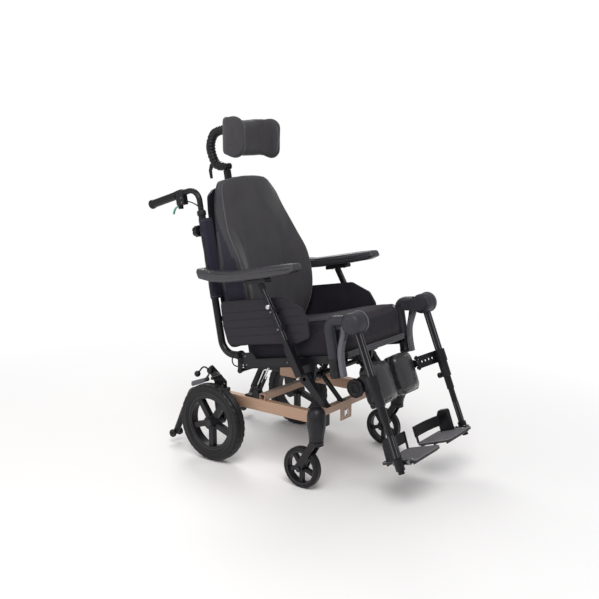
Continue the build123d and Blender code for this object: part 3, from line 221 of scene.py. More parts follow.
def multiplied(tree, a, b):
    node = add(tree, "ShaderNodeMath", {"operation": "MULTIPLY"})
    tree.links.new(a, node.inputs[0])
    tree.links.new(b, node.inputs[1])
    return node.outputs["Value"]


def toned(tree, factor, colour, low, high):
    """The colour between two shares of its brightness."""
    ends = [(*[min(1, c * share) for c in colour[:3]], 1) for share in (low, high)]
    return blended(tree, factor, *ends)


def new_material(name, **sockets):
    m = bpy.data.materials.new(name)
    m.use_nodes = True
    shader = m.node_tree.nodes["Principled BSDF"]
    feed(m.node_tree, shader, **sockets)
    return m, m.node_tree, shader


def surfaced(tree, shader, tone, cloud, rough, relief, strength, depth):
    """Joins a colour, a cloudy roughness and a fine relief to a shader."""
    bump = add(tree, "ShaderNodeBump", Strength=strength, Distance=depth, Height=relief)
    spread = mapped(tree, cloud, 0.3, 0.7, *rough)
    feed(tree, shader, Base_Color=tone, Roughness=spread, Normal=bump.outputs["Normal"])


def coated_metal(name, colour, rough, metallic=0.0, grain=900, depth=0.12, spread=0.12):
    """Paint or anodising: fine grain, cloudy roughness and slight wear in the colour."""
    m, tree, shader = new_material(name, Metallic=metallic, Specular_IOR_Level=0.3)
    cloud = noise(tree, 14, 5)
    tone = toned(tree, mapped(tree, cloud, 0.3, 0.7, 0, 1), colour, 1 - spread, 1 + spread)
    surfaced(tree, shader, tone, cloud, (rough - 0.06, rough + 0.08), noise(tree, grain, 3), depth, 0.0004)
    return m


def brushed(name, colour, rough, axis_scale):
    """Drawn aluminium under tinted anodising: long fine streaks along the bar."""
    m, tree, shader = new_material(name, Metallic=0.35, Coat_Weight=0.25, Coat_Roughness=0.35)
    place = add(tree, "ShaderNodeTexCoord")
    stretch = add(tree, "ShaderNodeMapping", Vector=place.outputs["Object"], Scale=axis_scale)
    streak = add(tree, "ShaderNodeTexNoise", Vector=stretch.outputs["Vector"], Scale=1,
                 Detail=4).outputs["Fac"]
    tone = toned(tree, mapped(tree, streak, 0.35, 0.65, 0, 1), colour, 0.9, 1.1)
    surfaced(tree, shader, tone, noise(tree, 9, 3), (rough - 0.05, rough + 0.07), streak, 0.08, 0.0003)
    return m


def moulded(name, colour, rough, grain=1400, depth=0.25):
    """Moulded plastic or rubber with a fine spark-eroded skin."""
    m, tree, shader = new_material(name, Specular_IOR_Level=0.3)
    cloud = noise(tree, 20, 4)
    skin = texture(tree, "Voronoi", grain).outputs["Distance"]
    tone = toned(tree, mapped(tree, cloud, 0.3, 0.7, 0, 1), colour, 0.9, 1.1)
    surfaced(tree, shader, tone, cloud, (rough - 0.07, rough + 0.07), skin, depth, 0.0004)
    return m


def knitted(name, colour, rough, pitch, depth, sheen):
    """Upholstery knit: two crossed rows of loops, cloudy pile and a soft sheen."""
    m, tree, shader = new_material(name, Sheen_Weight=sheen, Sheen_Roughness=0.45, Specular_IOR_Level=0.25)
    rows = [
        texture(tree, "Wave", 1 / pitch, {"bands_direction": way}, Distortion=1.2, Detail=1).outputs["Fac"]
        for way in "ZX"
    ]
    loops = multiplied(tree, *rows)
    cloud = noise(tree, 11, 6)
    weave = toned(tree, loops, colour, 0.82, 1.12)
    grey = blended(tree, mapped(tree, cloud, 0.3, 0.7, 0, 1), (0.86, 0.86, 0.86, 1), (1.08, 1.08, 1.08, 1))
    pile = add(tree, "ShaderNodeMix", {"data_type": "RGBA", "blend_type": "MULTIPLY"}, Factor=1, A=weave,
               B=grey)
    surfaced(tree, shader, pile.outputs["Result"], cloud, (rough - 0.05, rough + 0.05), loops, depth, 0.0006)
    return m


def leather(name, colour, rough, grain, depth, coat):
    """Vinyl leather: pebbled cells, fine creases and a soft gloss."""
    m, tree, shader = new_material(name, Coat_Weight=coat, Coat_Roughness=0.3)
    cells = texture(tree, "Voronoi", grain, {"feature": "DISTANCE_TO_EDGE"})
    edge = mapped(tree, cells.outputs["Distance"], 0, 0.12, 0, 1)
    tone = toned(tree, edge, colour, 0.7, 1.05)
    surfaced(tree, shader, tone, noise(tree, 30, 6), (rough - 0.08, rough + 0.1), edge, depth, 0.0005)
    return m


# Every material of the chair, by a short key.
FINISH = {
    "frame": coated_metal("frame_black", srgb(25, 24, 28), 0.27),
    "bronze": brushed("bronze_anodised", srgb(176, 143, 120), 0.4, (900, 14, 900)),
    "bronze_cross": brushed("bronze_anodised_cross", srgb(176, 145, 124), 0.42, (14, 900, 900)),
    "chrome": coated_metal("bright_steel", srgb(205, 205, 210), 0.22, 1.0, 1600, 0.05, 0.05),
    "plastic": moulded("plastic_black", srgb(27, 26, 30), 0.34),
    # grey plastic; also the painted highlight ring on the knee drums and the painted highlight ribs on the
    # seat lip
    "plastic_grey": moulded("plastic_grey", srgb(96, 95, 101), 0.42),
    "plastic_soft": moulded("plastic_satin", srgb(50, 49, 55), 0.42, 900, 0.3),
    "rubber": moulded("rubber_black", srgb(20, 19, 22), 0.4, 500, 0.2),
    "plate": moulded("footplate_grey", srgb(50, 48, 51), 0.45, 420, 0.4),
    "guard": moulded("guard_plum", srgb(36, 33, 40), 0.5, 1100, 0.3),
    "green": moulded("trigger_green", srgb(96, 168, 146), 0.35),
    "centre": knitted("knit_charcoal", srgb(68, 66, 69), 0.85, 0.0035, 0.35, 0.2),
    "side": knitted("knit_navy", srgb(45, 43, 58), 0.85, 0.0035, 0.35, 0.15),
    "seat": knitted("knit_plum", srgb(48, 42, 49), 0.88, 0.0035, 0.35, 0.08),
    "seat_side": knitted("knit_ink", srgb(37, 34, 42), 0.85, 0.0035, 0.35, 0.08),
    "edge": knitted("edge_tape", srgb(92, 90, 94), 0.75, 0.002, 0.3, 0.3),
    "vinyl": leather("vinyl_black", srgb(38, 36, 40), 0.24, 650, 0.14, 0.7),
    "armpad": leather("armpad_skin", srgb(54, 52, 57), 0.4, 500, 0.2, 0.2),
    "bolt": coated_metal("screw_steel", srgb(118, 118, 122), 0.3, 0.9, 1500, 0.06, 0.1),
    "vinyl_edge": leather("vinyl_piping", srgb(50, 48, 53), 0.35, 900, 0.2, 0.4),
    "cable": moulded("cable_jacket", srgb(30, 29, 32), 0.45, 900, 0.15),
    # lighter metal strips: on the armrest posts they are painted highlight along the profile's front edge
    "strip_metal_and_highlight": coated_metal("profile_strip_and_highlight", srgb(104, 103, 108), 0.3, 0.4, 1400, 0.06, 0.08),
    "rim_edge": coated_metal("rim_edge", srgb(48, 47, 51), 0.28, 0.2, 1200, 0.08, 0.1),
    # lighter grey for the footplate's rim and ribs: painted light on the plate's top face
    "lit_plate_top": moulded("footplate_rib", srgb(124, 122, 125), 0.4, 600, 0.25),
    "strap": knitted("strap_black", srgb(31, 30, 33), 0.75, 0.002, 0.4, 0.1),
}


# ---- mesh tools ----
def piece(name, verts, faces, space, finish, body):
    """A mesh piece from drawing millimetres, meant for a CAD body; finish is a key or a list of keys."""
    mesh = bpy.data.meshes.new(name)
    mesh.from_pydata([space @ Vector(v) for v in verts], [], faces)
    obj = placed(name, mesh)
    for key in finish if isinstance(finish, list) else [finish]:
        mesh.materials.append(FINISH[key])
    bm = bmesh.new()
    bm.from_mesh(mesh)
    bmesh.ops.remove_doubles(bm, verts=bm.verts, dist=1e-6)
    bmesh.ops.recalc_face_normals(bm, faces=bm.faces)
    bm.to_mesh(mesh)
    bm.free()
    mesh.polygons.foreach_set("use_smooth", [True] * len(mesh.polygons))
    obj["body"] = body
    return obj


def stands_for(obj, *nodes):
    """Hides the CAD nodes named; the piece stands in their place."""
    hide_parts(*nodes)


def seat_on(obj):
    """The piece rides on its body."""
    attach(obj, obj["body"])
    return obj


def rings(loops, capped=True):
    """Faces that join closed loops of points in turn, with a fan at each end."""
    count = len(loops[0])
    verts = [p for loop in loops for p in loop]
    faces = []
    for r in range(len(loops) - 1):
        a, b = r * count, (r + 1) * count
        for n in range(count):
            m = (n + 1) % count
            faces.append((a + n, a + m, b + m, b + n))
    if capped:
        for start in (0, (len(loops) - 1) * count):
            centre = sum((Vector(p) for p in verts[start:start + count]), Vector()) / count
            verts.append(tuple(centre))
            tip = len(verts) - 1
            for n in range(count):
                faces.append((start + n, start + (n + 1) % count, tip))
    return verts, faces


def rounded_polygon(points, radius, step):
    """A closed 2-D outline with rounded corners, as points about step apart."""
    radii = radius if isinstance(radius, list) else [radius] * len(points)
    out = []
    for i, corner in enumerate(points):
        before, after = Vector(points[i - 1]), Vector(points[(i + 1) % len(points)])
        corner = Vector(corner)
        to_a, to_b = (before - corner).normalized(), (after - corner).normalized()
        angle = to_a.angle(to_b)
        cut = radii[i] / math.tan(angle / 2) if angle < math.pi - 0.01 else 0
        cut = min(cut, 0.49 * (before - corner).length, 0.49 * (after - corner).length)
        if cut < 0.01:
            out.append(corner)
            continue
        start, end = corner + to_a * cut, corner + to_b * cut
        for k in range(5):
            t = k / 4
            out.append(start * (1 - t) ** 2 + corner * 2 * t * (1 - t) + end * t ** 2)
    dense = []
    for i, p in enumerate(out):
        q = out[(i + 1) % len(out)]
        parts = max(1, round((q - p).length / step))
        dense += [p.lerp(q, k / parts) for k in range(parts)]
    return dense


def rounded_box(a, b, radius, step):
    """A rounded rectangle between two opposite corners."""
    return rounded_polygon([a, (b[0], a[1]), b, (a[0], b[1])], radius, step)


def inset(outline, depth):
    """The outline moved inwards by depth."""
    area = sum(p.x * q.y - q.x * p.y for p, q in zip(outline, outline[1:] + outline[:1]))
    turn = 1 if area > 0 else -1
    out = []
    for i, p in enumerate(outline):
        along = (outline[(i + 1) % len(outline)] - outline[i - 1]).normalized()
        out.append(p + Vector((-along.y, along.x)) * turn * depth)
    return out


def prism_loops(outline, low, high, edge, step):
    """Loops of a pad with a flat outline, rounded at both end faces and filled inwards."""
    middle = sum(outline, Vector((0, 0))) / len(outline)
    face = inset(outline, edge)
    reach = max((p - middle).length for p in face)
    count = max(2, round(reach / step))
    cap = [(k / count, [middle.lerp(p, k / count) for p in face]) for k in range(1, count)]
    loops = [(low, loop) for _, loop in cap] + end_roll(outline, low, edge, 1)
    parts = max(1, round((high - low - 2 * edge) / step))
    for k in range(1, parts):
        loops.append((low + edge + (high - low - 2 * edge) * k / parts, outline))
    loops += reversed(end_roll(outline, high, edge, -1))
    loops += [(high, loop) for _, loop in reversed(cap)]
    return loops


def end_roll(outline, end, edge, way):
    """Rounded edge from an end face to the full outline."""
    out = []
    for k in range(4):
        turn = math.pi / 2 * k / 3
        out.append((end + way * edge * (1 - math.cos(turn)), inset(outline, edge * (1 - math.sin(turn)))))
    return out


def lathe(name, profile, centre, space, finish, body, segments=64, axis="X", shape=None):
    """A turned piece from (along, radius) pairs about an axis; shape may change a radius by its turn."""
    loops = []
    for along, radius in profile:
        loop = []
        for n in range(segments):
            turn = 2 * math.pi * n / segments
            reach = shape(along, radius, turn) if shape else radius
            a, b = reach * math.cos(turn), reach * math.sin(turn)
            point = {"X": (along, a, b), "Y": (a, along, b), "Z": (a, b, along)}[axis]
            loop.append(tuple(Vector(point) + Vector(centre)))
        loops.append(loop)
    closed = profile[0] == profile[-1]
    return seat_on(piece(name, *rings(loops, not closed), space, finish, body))


SWELL_FRAMES = 20
STIFFNESS = 12


def swell(obj, space, pressure, cap, held):
    """Cloth pressure crowns a closed pad by at most cap metres; points of the drawing that are held stay."""
    mesh = obj.data
    start = [v.co.copy() for v in mesh.vertices]
    group = obj.vertex_groups.new(name="held")
    back = space.inverted()
    group.add([i for i, v in enumerate(start) if held(*(back @ v))], 1, "REPLACE")
    cloth = obj.modifiers.new("swell", "CLOTH")
    cloth.settings.vertex_group_mass = "held"
    cloth.settings.use_pressure = True
    cloth.settings.uniform_pressure_force = pressure
    cloth.settings.tension_stiffness = STIFFNESS
    cloth.settings.compression_stiffness = STIFFNESS
    cloth.settings.shear_stiffness = STIFFNESS / 2
    cloth.settings.effector_weights.gravity = 0
    cloth.point_cache.frame_start = 1
    cloth.point_cache.frame_end = SWELL_FRAMES
    scene = bpy.context.scene
    for n in range(1, SWELL_FRAMES + 1):
        scene.frame_set(n)
    graph = bpy.context.evaluated_depsgraph_get()
    shaped = obj.evaluated_get(graph).data
    moved = [v.co.copy() for v in shaped.vertices]
    obj.modifiers.remove(cloth)
    obj.vertex_groups.clear()
    scene.frame_set(1)
    for v, a, b in zip(mesh.vertices, start, moved):
        step = b - a
        if step.length > cap:
            step = step.normalized() * cap
        v.co = a + step
    mesh.update()


def stuffed(obj):
    """Finishes a pad: one level of subdivision."""
    sub = obj.modifiers.new("subdivision", "SUBSURF")
    sub.levels = 1
    sub.render_levels = 1


def tube(name, points, radius, space, finish, body, sides=12, closed=False):
    """A round bar or piping along points of the drawing."""
    data = bpy.data.curves.new(name, "CURVE")
    data.dimensions = "3D"
    data.bevel_depth = radius * MM
    data.bevel_resolution = sides // 4
    data.use_fill_caps = not closed
    line = data.splines.new("POLY")
    line.points.add(len(points) - 1)
    for point, p in zip(line.points, points):
        point.co = (*(space @ Vector(p)), 1)
    line.use_cyclic_u = closed
    line.use_smooth = True
    data.materials.append(FINISH[finish])
    obj = placed(name, data)
    obj["body"] = body
    return seat_on(obj)


def prism(name, outline, ends, edge, step, axis, space, finish, body, loose=False):
    """A block with rounded edges between two ends of an axis; a loose one is shaped before it is seated."""
    order = {
        "X": lambda a, p: (a, p.x, p.y),
        "Y": lambda a, p: (p.x, a, p.y),
        "Z": lambda a, p: (p.x, p.y, a),
    }
    loops = [[order[axis](a, p) for p in loop] for a, loop in prism_loops(outline, *ends, edge, step)]
    obj = piece(name, *rings(loops), space, finish, body)
    return obj if loose else seat_on(obj)


def aimed(space, start, toward):
    """A drawing space that has its Z axis from start towards a point."""
    turn = (Vector(toward) - Vector(start)).to_track_quat("Z", "Y").to_matrix().to_4x4()
    return space @ Matrix.Translation(start) @ turn


def eased(points):
    """An open line with its corners cut round, three times over."""
    line = [Vector(p) for p in points]
    for _ in range(3):
        cut = [line[0]]
        for a, b in zip(line, line[1:]):
            cut += [a.lerp(b, 0.25), a.lerp(b, 0.75)]
        line = cut + [line[-1]]
    return line


def spaced(line, step, start=0.0):
    """Points at equal steps along an open line, each with the way that the line runs there."""
    out, left = [], start
    for a, b in zip(line, line[1:]):
        run = (b - a).length
        while left <= run:
            out.append((a.lerp(b, left / run), (b - a).normalized()))
            left += step
        left -= run
    return out


def ribbon(name, route, half, x, corner, space, finish, body):
    """A flat bar with rounded edges that follows a (y, z) route between two x values."""
    line = eased([Vector((0, y, z)) for y, z in route])
    edge = rounded_box((x[0], -half), (x[1], half), corner, 4)
    loops = []
    for i, p in enumerate(line):
        run = line[min(i + 1, len(line) - 1)] - line[max(i - 1, 0)]
        across = Vector((0, -run.z, run.y)).normalized()
        loops.append([(q.x, p.y + across.y * q.y, p.z + across.z * q.y) for q in edge])
    return seat_on(piece(name, *rings(loops), space, finish, body))


def bolt(name, place, way, radius, space, body, finish="bolt"):
    """A button-head screw with a hexagon socket, facing a way."""
    height = radius * 0.55
    profile = [
        (-1, radius * 0.9), (0, radius), (height * 0.5, radius * 0.97), (height * 0.9, radius * 0.78),
        (height, radius * 0.56), (height, radius * 0.5), (height * 0.3, radius * 0.48), (height * 0.3, 0.2),
    ]

    def socket(at, reach, turn):
        if at <= 0 or not 0.3 < reach < radius * 0.52:
            return reach
        return reach * 0.9 / math.cos(turn % (math.pi / 3) - math.pi / 6)

    toward = Vector(place) + Vector(way)
    lathe(name, profile, ORIGIN, aimed(space, place, toward), finish, body, 24, "Z", socket)


def bolts(name, places, way, radius, space, body):
    for n, place in enumerate(places):
        bolt(f"{name}_{n}", place, way, radius, space, body)


SEAM_LIFT = 0.0002


def seam(name, obj, points, radius, space, finish, closed=False):
    """Piping that lies on the skin of a pad, along points of the drawing."""
    line = []
    for p in points:
        at = space @ Vector(p)
        found, place, normal, _ = obj.closest_point_on_mesh(at)
        line.append((place + normal * SEAM_LIFT if found else at) / MM)
    tube(name, line, radius, SCALE, finish, obj["body"], 8, closed)


def reshape(obj, space, move):
    """Moves each point of a piece by a rule written in its drawing space."""
    back = space.inverted()
    for v in obj.data.vertices:
        v.co = space @ Vector(move(*(back @ v.co)))
    obj.data.update()


def smooth(t):
    t = min(1, max(0, t))
    return t * t * (3 - 2 * t)


def along(table, at, blur=0):
    """A value read between the rows of a table, averaged over a little length."""
    if blur:
        return sum(along(table, at + blur * k / 3) for k in range(-3, 4)) / 7
    if at <= table[0][0]:
        return table[0][1]
    for (a, va), (b, vb) in zip(table, table[1:]):
        if at <= b:
            return va + (vb - va) * (at - a) / (b - a)
    return table[-1][1]


# ---- cushions ----
def seat_cushion():
    outline = [(112, 456), (112, 564), (-60, 569), (-230, 582), (-318, 581), (-339, 552), (-328, 456)]
    outline = rounded_polygon(outline, [4, 14, 60, 60, 16, 16, 6], 12)
    obj = prism("seat_pad", outline, (-200, 200), 12, 12, "X", LEVEL, ["seat", "seat_side"], "seat", True)
    level_back = LEVEL.inverted()
    for polygon in obj.data.polygons:
        middle = level_back @ polygon.center
        if abs(middle.x) > 196 or middle.y < -333:
            polygon.material_index = 1

    swell(obj, LEVEL, 4, 0.005, lambda x, y, z: z < 458)
    stands_for(seat_on(obj), "seat_cushion")
    stuffed(obj)
    for x in (-190, 190):
        rim = [Vector((x, p.x, p.y)) for p in inset(outline, 1)]
        tube(f"seat_piping_{'R' if x < 0 else 'L'}", rim, 2.2, LEVEL, "seat_side", "seat", closed=True)


# Half widths at the rear and at the crest, and the crest's depth, by height.
REAR_HALF = [(500, 184), (700, 190), (800, 192), (930, 182), (1060, 168), (1110, 154), (1150, 130)]
CREST_HALF = [(506, 180), (590, 190), (640, 197), (700, 206), (760, 211), (860, 211), (940, 204), (1000, 188),
              (1050, 174), (1100, 162), (1130, 148), (1150, 128)]
CREST_Y = [(560, 124), (592, 104), (640, 74), (700, 63), (750, 61), (810, 66), (850, 74), (885, 90),
           (930, 110), (1000, 130), (1050, 143), (1100, 152), (1150, 162)]
NAVY_FROM = [(560, 2), (700, 8), (820, 24), (930, 32), (1030, 60), (1080, 200)]
BACK_BASE, BACK_TOP, BACK_FRONT, BACK_REAR = 506, 1150, 125, 203
BACK_ROLL = 18
CREST_ROLL = 9
FRONT_PARTS, SIDE_PARTS = 18, 10


def back_section(z):
    """Half of the back cushion's section at a height: centre, crest, side and rear."""
    end = max(0, BACK_ROLL - min(z - BACK_BASE, BACK_TOP - z))
    pinch = BACK_ROLL - math.sqrt(BACK_ROLL ** 2 - end ** 2)
    crest_x = along(CREST_HALF, z, 22) - pinch * 0.5
    rear_x = along(REAR_HALF, z, 22) - pinch * 0.5
    crest_y = along(CREST_Y, z, 24) + pinch * 0.4
    front_y = BACK_FRONT + pinch
    rear_y = BACK_REAR - pinch * 0.4
    points = []
    for k in range(FRONT_PARTS + 1):
        s = k / FRONT_PARTS
        rise = smooth((s - 0.5) / 0.5) if crest_y < front_y else s ** 4
        dish = 4 * (1 - s) ** 2
        points.append((crest_x * s, front_y + dish + (crest_y - front_y - dish) * rise))
    for turn in (30, 60, 90):
        a = math.radians(turn)
        points.append((crest_x + CREST_ROLL * math.sin(a) * 0.6, crest_y + CREST_ROLL * (1 - math.cos(a))))
    side_x, side_y = points[-1]
    for k in range(1, SIDE_PARTS + 1):
        share = k / SIDE_PARTS
        points.append((side_x + (rear_x - side_x) * share, side_y + (rear_y - 4 - side_y) * share))
    points.append((rear_x - 4, rear_y))
    for k in range(1, 9):
        points.append(((rear_x - 4) * (1 - k / 9), rear_y))
    return points


def crowned(x, z):
    """How far the top edge of the back cushion rises in its middle."""
    return smooth((z - 1080) / 70) * (13 - 12 * (x / 118) ** 2)


def back_cushion():
    roll = [BACK_ROLL * (1 - math.cos(math.pi / 2 * k / 4)) for k in range(4)]
    heights = [BACK_BASE + a for a in roll]
    heights += [BACK_BASE + BACK_ROLL + (BACK_TOP - BACK_BASE - 2 * BACK_ROLL) * k / 64 for k in range(65)]
    heights += [BACK_TOP - a for a in reversed(roll)]
    loops = []
    for z in heights:
        half = back_section(z)
        loops.append([(x, y, z) for x, y in half] + [(-x, y, z) for x, y in reversed(half[1:])])
    loops = [[(x, y, z + crowned(x, z)) for x, y, z in loop] for loop in loops]
    obj = piece("back_pad", *rings(loops), LEVEL, ["centre", "side"], "back")
    level_back = LEVEL.inverted()

    def crest_gap(x, y, z):
        """How far outside the crest line a point lies, and how far behind it."""
        return abs(x) - along(CREST_HALF, z, 22), y - along(CREST_Y, z, 24)

    for polygon in obj.data.polygons:
        middle = level_back @ polygon.center
        out, behind = crest_gap(*middle)
        if middle.y > 188 or (out > -14 and behind > along(NAVY_FROM, middle.z)):
            polygon.material_index = 1

    def held(x, y, z):
        out, behind = crest_gap(x, y, z)
        return y > 190 or (abs(out) < 4 and behind < 8)

    swell(obj, LEVEL, 4, 0.006, held)
    stands_for(seat_on(obj), "back_cushion")
    crest = [(along(CREST_HALF, z, 22) + 1, along(CREST_Y, z, 24) + 1, z) for z in range(530, 1136, 9)]
    top = [(x, 152 - abs(x) * 0.02, 1152) for x in range(96, -100, -12)]
    line = crest + [Vector(p) for p in top] + [(-x, y, z) for x, y, z in reversed(crest)]
    seam("back_seam", obj, line, 1.8, LEVEL, "edge")
    stuffed(obj)
    for side in SIDES:
        space = sided(LEVEL, side)
        wrap = [
            (184, 202), (202, 202), (222, 209), (229, 216), (230.4, 225), (228.6, 234), (222, 241),
            (212, 243), (201, 238), (192, 222), (184, 218),
        ]
        section = rounded_polygon(wrap, 5, 4)
        obj = prism(f"back_wrap_{side}", section, (702, 1012), 2, 14, "Z", space, "side", "back", True)

        def drawn(x, y, z):
            """Draws the sleeve in a little between its hems, in slow folds."""
            fold = 0.8 * math.sin(z / 17 + x / 9) * smooth((z - 702) / 40) * smooth((1012 - z) / 40)
            return x - 1 - abs(fold) if x > 205 else x, y - fold if y > 230 else y, z

        reshape(obj, space, drawn)
        seat_on(obj)
        for n, z in enumerate((710, 1004)):
            hem = [(p.x, p.y, z) for p in inset(section, 0.9)]
            tube(f"wrap_hem_{side}_{n}", hem, 1, space, "edge", "back", 6, True)


# Centre line of the headrest from its middle to a wing tip, and half its thickness along that line.
HEAD_LINE = [(0, 147), (36, 148), (72, 148), (100, 132), (110, 104), (111, 76), (109, 46)]
HEAD_HALF = [(0, 24), (50, 27), (80, 29), (100, 25), (125, 18), (150, 15), (170, 14)]
HEAD_RISE = [(0, 13), (60, 15), (96, 17), (128, 7), (160, 0)]
HEAD_LOW, HEAD_HIGH = 1219, 1383
HEAD_CORNER = 54
HEAD_STEP = 6.5
HEAD_RING = 44
LINK_PITCH = 15


def headrest():
    half = spaced(eased([Vector((x, y)) for x, y in HEAD_LINE]), HEAD_STEP)
    reach = (len(half) - 1) * HEAD_STEP
    loops = []
    for n in range(1 - len(half), len(half)):
        side = 1 if n >= 0 else -1
        place, way = half[abs(n)]
        at = abs(n) * HEAD_STEP
        gap = reach - at
        cut = HEAD_CORNER - math.sqrt(max(0, HEAD_CORNER ** 2 - max(0, HEAD_CORNER - gap) ** 2))
        blunt = max(0.02, 1 - max(0, 1 - gap / 16) ** 2) ** 0.5
        thick = along(HEAD_HALF, at, 8) * blunt
        middle = 1 - smooth(at / 100)
        top = HEAD_HIGH - 10 * middle - cut * 0.95
        low = HEAD_LOW + along(HEAD_RISE, at, 12) + cut * 0.95
        edge = rounded_box((-thick, low), (thick, top), min(thick * 0.95, 20), 9)
        across = Vector((-way.y, way.x))
        line = [edge[round(k * len(edge) / HEAD_RING) % len(edge)] for k in range(HEAD_RING)]
        loops.append([(side * (place.x + across.x * q.x), place.y + across.y * q.x, q.y) for q in line])
    obj = piece("headrest_pad", *rings(loops), HEAD, "centre", "headrest_cushion")
    swell(obj, HEAD, 4, 0.004, lambda x, y, z: y > 160 and abs(x) < 60)
    stands_for(seat_on(obj), "headrest_cushion")
    for side, sign in SIDES.items():
        crease = [(sign * 98, 44 + (z - 1301) ** 2 / 200, z) for z in range(1252, 1352, 6)]
        seam(f"headrest_seam_{side}", obj, crease, 2.2, HEAD, "edge")
    stuffed(obj)
    plate = rounded_polygon([(156, 1371), (178, 1371), (178, 1323), (165, 1323)], [2, 4, 4, 2], 6)
    prism("headrest_plate", plate, (-30, 30), 2, 8, "X", LEVEL, "frame", "headrest_cushion")
    ear = rounded_polygon([(175, 1349), (205, 1350), (218, 1356), (218, 1369), (205, 1374), (175, 1374)], 7,
                          5)
    for side, x in (("L", (9.3, 18.3)), ("R", (-18.3, -9.3))):
        prism(f"headrest_ear_{side}", ear, x, 1.2, 8, "X", LEVEL, "frame", "headrest_cushion")
        outer = x[side == "L"]
        bolt(f"headrest_bolt_{side}", (outer, 205, 1362), (outer, 0, 0), 6.5, LEVEL, "headrest_cushion")


def calf_pad(side):
    space = sided(LEG, side)
    body = f"calf_pad_{side}"
    low_x, high_x = 20, 144
    plan = [(low_x, 60), (low_x, 130), (high_x, 130), (high_x, 60), (110, 56), (82, 54), (54, 56)]
    outline = rounded_polygon(plan, [26, 34, 34, 26, 30, 30, 30], 7)
    obj = prism(f"calf_cushion_{side}", outline, (-301, -155), 22, 7, "Z", space, "vinyl", body, True)

    def bulged(x, y, z):
        """Crowns the front and draws the corners in."""
        a, b = (x - 82) / 62, (z + 228) / 73
        front = smooth((110 - y) / 50)
        return x, y - front * 7 * (1 - a * a) * (1 - b * b), z

    reshape(obj, space, bulged)
    swell(obj, space, 5, 0.008, lambda x, y, z: y > 120)
    stands_for(seat_on(obj), f"calf_pad_{side}")
    for n, y in enumerate((68, 92, 114)):
        rim = rounded_box((low_x - 4, -305), (high_x + 4, -151), 30, 7)
        seam(f"calf_seam_{side}_{n}", obj, [(p.x, y, p.y) for p in rim], 1.8, space, "vinyl_edge", True)
    stuffed(obj)
    ring = [(-221, 5.4), (-221, 9.2), (-197, 9.2), (-197, 5.4), (-221, 5.4)]
    lathe(f"calf_hinge_{side}", ring, (150, 50, 0), space, "frame", body, 32, "Z")
    plate = rounded_polygon([(52, -219), (100, -240), (168, -236), (168, -200), (100, -178), (52, -199)], 9,
                            7)
    prism(f"calf_plate_{side}", plate, (144.3, 149.3), 1, 10, "X", space, "frame", body)
    disc = [(149, 0.5), (149, 31), (151, 34), (158, 34), (161, 31), (161, 22), (159, 20), (159, 9), (163, 8),
            (163, 0.5)]
    lathe(f"calf_disc_{side}", disc, (0, 141, -219), space, "plastic", body, 48)


def armpad(side):
    space = sided(LEVEL, side)
    outline = [
        (-235, 770), (-225, 795), (60, 795), (180, 810), (228, 828), (236, 813), (230, 787),
        (170, 769), (110, 760), (40, 757), (-100, 757), (-200, 761),
    ]
    outline = rounded_polygon(outline, [10, 9, 60, 60, 8, 8, 14, 30, 30, 60, 60, 20], 10)
    obj = prism(f"arm_cushion_{side}", outline, (231, 287), 11, 7, "X", space, "armpad", f"armrest_{side}",
                True)
    swell(obj, space, 3, 0.003, lambda x, y, z: z < 775 or (y > 150 and x < 245))
    stands_for(seat_on(obj), f"armpad_{side}")
    for x in (234, 284):
        rim = [(x, p.x, p.y) for p in inset(outline, 2)]
        seam(f"armpad_seam_{side}_{x}", obj, rim, 1.3, space, "armpad", True)
    stuffed(obj)


# ---- hardware on the frame ----
def headrest_links():
    """Ball links along the headrest's arm."""
    route = [(276, 1221), (312, 1234), (330, 1310), (296, 1364), (232, 1364)]
    line = eased([Vector((0, y, z)) for y, z in route])
    profile = [(-7.4, 14.6), (-6, 17), (-3.5, 18.6), (0, 19.2), (3.5, 18.6), (6, 17), (7.4, 14.6)]
    for n, (place, way) in enumerate(spaced(line, LINK_PITCH, 14)):
        link_space = aimed(LEVEL, place, place + way)
        lathe(f"headrest_link_{n}", profile, ORIGIN, link_space, "plastic", "headrest_arm", 40, "Z")


def push_handle(side):
    space = sided(LEVEL, side)
    slope = (1107 - 1131) / (489 - 225)
    foot = Vector((215, 343, 1131 + slope * (343 - 225)))
    way = Vector((0, 1, slope)).normalized()
    profile = [(-1, 0.5), (-1, 11.2), (-1, 15.6), (3, 16.8), (6, 16.8), (8, 15.8)]
    for n in range(17):
        at = 12 + n * 7
        profile += [(at - 2, 15.4), (at, 16.1), (at + 3, 16.1), (at + 5, 15.4)]
    profile += [(134, 16.2), (138, 18.6), (147, 18.8), (150, 16.5), (150.5, 8), (150.5, 0.5)]
    lathe(f"grip_skin_{side}", profile, ORIGIN, aimed(space, foot, foot + way), "rubber", "handles", 48, "Z")
    collar = [(1024, 13.8), (1024, 16.4), (1027, 17.4), (1038, 17.4), (1043, 15.6), (1044, 11.1),
              (1040, 11.1), (1024, 13.8)]
    lathe(f"tube_collar_{side}", collar, (215, 225, 0), space, "plastic", "back", 40, "Z")
    cap = rounded_polygon([(300, 1128), (304, 1139), (334, 1136), (339, 1126), (339, 1118), (300, 1121)], 4,
                          4)
    prism(f"lever_cap_{side}", cap, (200.5, 229.5), 2.5, 6, "X", space, "plastic", "handles")
    bolts(f"lever_screw_{side}", [(228.8, 309, z) for z in (1088, 1106)], OUT, 3.4, space, "handles")


def trigger_blade(side):
    """The curved squeeze blade below a grip; the tilt blade, on the sitter's right, is green."""
    space = sided(LEVEL, side)
    route = [(326, 1075), (340, 1077), (354, 1075), (364, 1069), (371, 1060), (375, 1051)]
    body = "recline_trigger" if side == "L" else "tilt_trigger"
    finish = "green" if side == "R" else "plastic"
    blade = ribbon(f"trigger_blade_{side}", route, 2.6, (210.5, 219.5), 2, space, finish, body)
    stands_for(blade, f"trigger_{side}")


